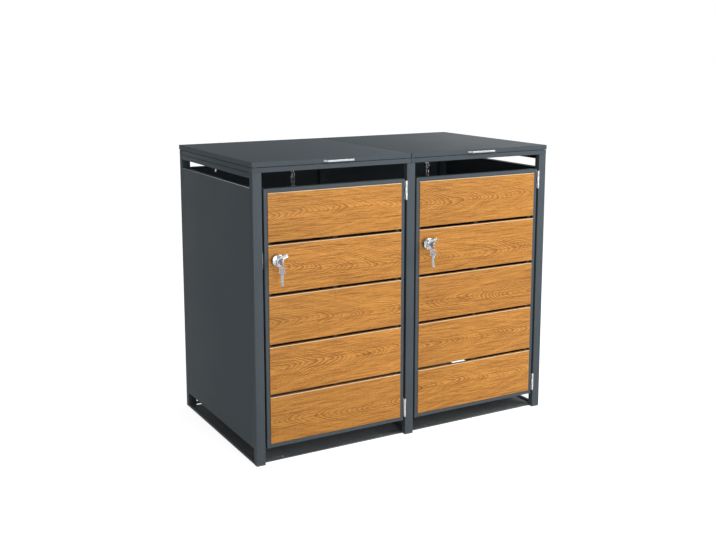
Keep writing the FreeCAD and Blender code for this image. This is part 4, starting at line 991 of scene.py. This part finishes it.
class BINSTORE_OT_handles(bpy.types.Operator):
    """Bend the flat bow handles on the lids' front rims"""
    bl_idname = "bin_store.handles"
    bl_label = "Lid handles"

    def execute(self, context):
        sizes, bend, leg = settings("handles"), 3 * MM, 30 * MM
        for side in SIDES:
            low, high = corners(side + "_lid_handle")
            middle, back = (low.x + high.x) / 2, low.y + sizes.bar
            lean = math.atan2(high.y - low.y, sizes.splay)
            run = (high.x - low.x) / 2 - sizes.splay - sizes.bar
            made = block(side + "_handle", (middle - run, low.y, low.z), (middle + run, back, high.z))
            for sign in (1, -1):
                centre = (middle + sign * run, back + bend, (low.z + high.z) / 2)
                edit(made, "FACE", faces("X", sign), spin(6, sign * lean, centre, (0, 0, 1)),
                     push(sign * leg * math.cos(lean), leg * math.sin(lean), 0))
            edit(made, "FACE", lambda face, normal: True, lambda: bpy.ops.mesh.bisect(
                plane_co=(middle, high.y, low.z), plane_no=(0, 1, 0), use_fill=True, clear_outer=True))
            soften(made, 1.2 * MM, 4, 40)
            fit(made, side + "_lid", "zinc_steel", side + "_lid_handle", finish=BRUSHED)
        return {"FINISHED"}


def link(name, inner, wire, straight):
    """A link standing in the YZ plane round the origin: a ring whose halves are drawn apart."""
    made = ring(name, inner + wire, wire, LINK_SIDES, 8, turn=(0, QUARTER, 0))
    # Half a step round the ring, so that no corner lies between the halves.
    made.rotation_euler = (math.pi / LINK_SIDES, 0, 0)
    settle(name)
    for sign in (1, -1):
        edit(made, "VERT", lambda corner: corner.z * sign > 0, slide(0, 0, sign * straight))
    return made


class BINSTORE_OT_chains(bpy.types.Operator):
    """Bend the links and hang them double from the eye under each lid"""
    bl_idname = "bin_store.chains"
    bl_label = "Chains"

    def execute(self, context):
        sizes, inner, loose = settings("chains"), 2 * MM, 0.2 * MM
        wire, pitch = sizes.wire, sizes.pitch
        half, length, snap_length = (pitch - 2 * wire) / 2, pitch + loose, SNAP_LINKS * pitch + loose
        strands = [(strand, number) for strand, first in ((-1, 0), (1, SNAP_LINKS))
                   for number in range(first, sizes.links)]
        for side in SIDES:
            low, high = corners(side + "_chain")
            x, hang = (low.x + high.x) / 2, high.z - 2.8 * MM
            top = hang - length / 2
            places = [(x + strand * half, 0, top - number * pitch) for strand, number in strands]
            turns = [(0, 0, QUARTER * (number % 2)) for _, number in strands]
            # The last link lies across and joins the strands.
            places.append((x, 0, top - (sizes.links - 1) * pitch - length / 2 - wire))
            turns.append((0, QUARTER, QUARTER))
            links = copies(link("link", inner, wire, length / 2 - inner), side + "_links", places, turns)
            snap = link("snap", inner, 1.4 * MM, snap_length / 2 - inner)
            nut = bar("snap_nut", (0, inner + 0.9 * MM, -5 * MM), 1.9 * MM, 10 * MM, "Z", 6)
            snap = join("snap", [snap, soften(nut, 0.3 * MM)])
            hook = copies(snap, side + "_snap", [(x + half, 0, hang - snap_length / 2)])
            fit(join(side + "_chain_links", [links, hook]), side + "_chain", "chain_steel", side + "_chain")
            eye = self.eye(side + "_eye", *corners(side + "_chain_eye"))
            fit(eye, side + "_lid", "chain_steel", side + "_chain_eye")
        low, high = corners("chain_studs")
        radius, studs = 4.5 * MM, []
        for x in (low.x + radius, high.x - radius):
            knob = bar("stud_knob", (x, 0, low.z), radius, 3 * MM, "Z", 32)
            studs += [soften(knob, 1.2 * MM, 4),
                      bar("stud_shank", (x, 0, low.z), 2.5 * MM, high.z - low.z, "Z", 24)]
        fit(join("chain_hanging_studs", studs), "frame", "zinc_steel", "chain_studs")
        return {"FINISHED"}

    def eye(self, name, low, high):
        """A wire staple bent from one rod, on a riveted plate."""
        wire, bend, reach, rivet = 1.7 * MM, 3 * MM, 12 * MM, 1.2 * MM
        middle, under, level = (low.x + high.x) / 2, high.z - 2 * MM, low.z + wire + bend
        plate = block("eye_plate", (low.x, low.y, under), high)
        edit(plate, "EDGE", edges("Z"), bevel(3 * MM, 4))
        rod = bar(name, (middle - reach, 0, level), wire, under - level, "Z", 12)
        edit(rod, "FACE", faces("Z", -1),
             spin(5, -QUARTER, (middle - reach + bend, 0, level), (0, 1, 0)), push(2 * (reach - bend), 0, 0),
             spin(5, -QUARTER, (middle + reach - bend, 0, level), (0, 1, 0)), push(0, 0, under - level))
        rivets = [bar("eye_rivet", (middle + across, 0, under - rivet), 2.4 * MM, rivet, "Z", 24)
                  for across in (-15 * MM, 15 * MM)]
        return join(name, [soften(rod, 0.1 * MM, 1, 60), soften(plate, 0.3 * MM),
                           *(soften(dome, 0.9 * MM, 4) for dome in rivets)])


class BINSTORE_OT_fixings(bpy.types.Operator):
    """Model a hex-socket bolt and a dome rivet, and copy them to the rails and the panels"""
    bl_idname = "bin_store.fixings"
    bl_label = "Bolts and rivets"

    def execute(self, context):
        top = corners("frame_fixings")[1].z
        post_low, post_high = corners("front_left_post")
        centre_low, centre_high = corners("front_centre_post")
        panel_low, panel_high = corners("left_side_panel")
        back_low, back_high = corners("back_panels")
        height, sheet, end = 1.4 * MM, MM, 60 * MM
        head = bar("bolt_head", (0, 0, -height), 5 * MM, height, "Z", 32)
        edit(head, "EDGE", rim("Z", 1, -0.1 * MM), bevel(MM, 4))
        drill(head, [bar("socket", (0, 0, -0.9 * MM), 1.7 * MM, 3 * MM, "Z", 6)])
        shank = bar("bolt_shank", (0, 0, post_high.z - 4 * MM - top), 2.5 * MM, 23 * MM, "Z", 16)
        bolt = join("bolt", [soften(head, 0.1 * MM, 1, 40), shank])
        outer, inner = (post_low.x + post_high.x) / 2, centre_low.x / 2
        front = (post_low.y + post_high.y) / 2
        bolts = copies(bolt, "bolts", [(x, y, top) for x in (outer, inner, -inner, -outer)
                                       for y in (front, -front)])
        dome = bar("rivet", (0, 0, -sheet), 4.5 * MM, 2.8 * MM, "Z", 24)
        edit(dome, "EDGE", rim("Z", 1, 1.7 * MM), bevel(1.5 * MM, 4))
        edit(dome, "FACE", faces("Z", 1), inset(1.2 * MM), slide(0, 0, -0.5 * MM))
        soften(dome, 0.1 * MM, 1, 50)
        across, deep = (panel_low.x + panel_high.x) / 2, (back_low.y + back_high.y) / 2
        places, turns = [], []
        for z in (panel_low.z + end, (panel_low.z + panel_high.z) / 2, panel_high.z - end):
            for sign in (1, -1):
                places += [(sign * across, panel_low.y + sheet, z), (sign * across, panel_high.y - sheet, z),
                           (sign * (centre_high.x + sheet), deep, z), (sign * (back_high.x - sheet), deep, z)]
                turns += [(-QUARTER, 0, 0), (QUARTER, 0, 0), (0, sign * QUARTER, 0), (0, -sign * QUARTER, 0)]
        rivets = copies(dome, "rivets", places, turns)
        fit(join("bolts_and_rivets", [bolts, rivets]), "frame", "zinc_steel", "frame_fixings")
        return {"FINISHED"}


class BINSTORE_OT_buffers(bpy.types.Operator):
    """Model one rubber buffer and copy it under the lids' front corners"""
    bl_idname = "bin_store.buffers"
    bl_label = "Lid buffers"

    def execute(self, context):
        low, high = corners("lid_buffers")
        radius, end, places = (high.y - low.y) / 2, 60 * MM, []
        pad = bar("buffer", (0, 0, 0), radius, high.z - low.z, "Z", 32)
        edit(pad, "EDGE", lambda middle, way: middle.z > MM, bevel(0.8 * MM))
        edit(pad, "FACE", faces("Z", 1), inset(1.5 * MM), slide(0, 0, -0.4 * MM))
        soften(pad, 0.1 * MM, 1, 50)
        for side in SIDES:
            lid_low, lid_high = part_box(side + "_lid_shell")
            places += [(x, low.y + radius, low.z) for x in (lid_low[0] + end, lid_high[0] - end)]
        fit(copies(pad, "rubber_buffers", places), "frame", "rubber", "lid_buffers")
        return {"FINISHED"}


class BINSTORE_OT_stage(bpy.types.Operator):
    """Set up the camera, the soft lamps, the sky and the pale floor"""
    bl_idname = "bin_store.stage"
    bl_label = "Studio"

    def execute(self, context):
        scene, values = context.scene, settings("stage")
        scene.view_settings.view_transform = "Standard"
        for name in ("Cube", "Light", "Camera"):
            if name in bpy.data.objects:
                bpy.data.objects.remove(bpy.data.objects[name])
        bpy.ops.object.camera_add(location=CAMERA_SPOT, rotation=CAMERA_TURN)
        camera = context.object
        camera.name = "Camera"
        camera.data.lens, camera.data.sensor_width = values.lens, SENSOR
        camera.data.shift_y = CAMERA_SHIFT
        scene.camera = camera
        for name, (spot, width, power) in LAMPS.items():
            bpy.ops.object.light_add(type="AREA", location=spot)
            lamp = context.object
            lamp.name, lamp.data.size, lamp.data.energy = name, width, getattr(values, power)
            lamp.rotation_euler = (Vector(LAMP_AIM) - Vector(spot)).to_track_quat("-Z", "Y").to_euler()
        self.sky(scene, values)
        self.floor(values)
        return {"FINISHED"}

    def seen(self, nodes, share):
        """1 where the camera looks, a share of it for a mirror or glass ray, otherwise 0."""
        path = nodes.add("ShaderNodeLightPath").outputs
        bounced = nodes.math("MAXIMUM", path["Is Glossy Ray"], path["Is Transmission Ray"])
        return nodes.math("MAXIMUM", path["Is Camera Ray"], nodes.times(bounced, share))

    def sky(self, scene, values):
        """Even light from all round, mirrored as if a dark screen stood behind the right corner."""
        world = bpy.data.worlds.new("Studio")
        world.use_nodes = True
        nodes = Nodes(world.node_tree)
        light = world.node_tree.nodes["Background"]
        light.inputs["Color"].default_value = (1, 1, 1, 1)
        way = nodes.add("ShaderNodeTexCoord").outputs["Generated"]
        screened = nodes.add("ShaderNodeVectorMath", {0: way, 1: SCREEN_WAY}, operation="DOT_PRODUCT")
        share = nodes.spread(screened.outputs["Value"], 0.3, 0.9, values.mirrored, 0.0)
        nodes.feed(light.inputs["Strength"], nodes.spread(self.seen(nodes, share), 0, 1, values.sky, 1.0))
        scene.world = world

    def floor(self, values):
        """A wide pale floor, lifted to white where the camera or a mirror sees it."""
        bpy.ops.object.select_all(action="DESELECT")
        bpy.ops.mesh.primitive_plane_add(size=FLOOR_SIZE, location=(0, 0, -0.2 * MM))
        floor = settle("Floor")
        made = bpy.data.materials.new("Studio floor")
        made.use_nodes = True
        nodes = Nodes(made.node_tree)
        shader = made.node_tree.nodes["Principled BSDF"]
        shader.inputs["Base Color"].default_value = scaled(values.floor_colour)
        shader.inputs["Roughness"].default_value = 0.9
        shader.inputs["Specular IOR Level"].default_value = 0.1
        shader.inputs["Emission Color"].default_value = (1, 1, 1, 1)
        glow = nodes.spread(self.seen(nodes, values.mirrored), 0, 1, 0, values.floor_glow)
        nodes.feed(shader.inputs["Emission Strength"], glow)
        floor.data.materials.append(made)


class BINSTORE_PT_panel(bpy.types.Panel):
    """The bin store's pieces and sizes"""
    bl_idname = "BINSTORE_PT_panel"
    bl_label = "Bin store"
    bl_space_type = "VIEW_3D"
    bl_region_type = "UI"
    bl_category = "Bin store"

    def draw(self, context):
        for operator in OPERATORS:
            self.layout.operator(operator.bl_idname)
        for name in SETTINGS:
            values = settings(name)
            box = self.layout.box()
            for key in values.__annotations__:
                box.prop(values, key)


SETTINGS = {"stage": StageSettings, "finishes": FinishSettings, "steelwork": SteelworkSettings,
            "boards": BoardSettings, "locks": LockSettings, "keys": KeySettings,
            "hinges": HingeSettings, "chains": ChainSettings, "handles": HandleSettings}
OPERATORS = (BINSTORE_OT_stage, BINSTORE_OT_finishes, BINSTORE_OT_steelwork, BINSTORE_OT_boards,
             BINSTORE_OT_screws, BINSTORE_OT_locks, BINSTORE_OT_keys, BINSTORE_OT_door_hinges,
             BINSTORE_OT_lid_hinges, BINSTORE_OT_handles, BINSTORE_OT_chains, BINSTORE_OT_fixings,
             BINSTORE_OT_buffers)


def register():
    for kind in (*SETTINGS.values(), *OPERATORS, BINSTORE_PT_panel):
        bpy.utils.register_class(kind)
    for name, kind in SETTINGS.items():
        setattr(bpy.types.Scene, "bin_store_" + name, bpy.props.PointerProperty(type=kind))


def unregister():
    for name in SETTINGS:
        delattr(bpy.types.Scene, "bin_store_" + name)
    for kind in reversed((*SETTINGS.values(), *OPERATORS, BINSTORE_PT_panel)):
        bpy.utils.unregister_class(kind)


def main():
    register()
    for operator in OPERATORS:
        category, name = operator.bl_idname.split(".")
        getattr(getattr(bpy.ops, category), name)()


if __name__ == "__main__":
    main()
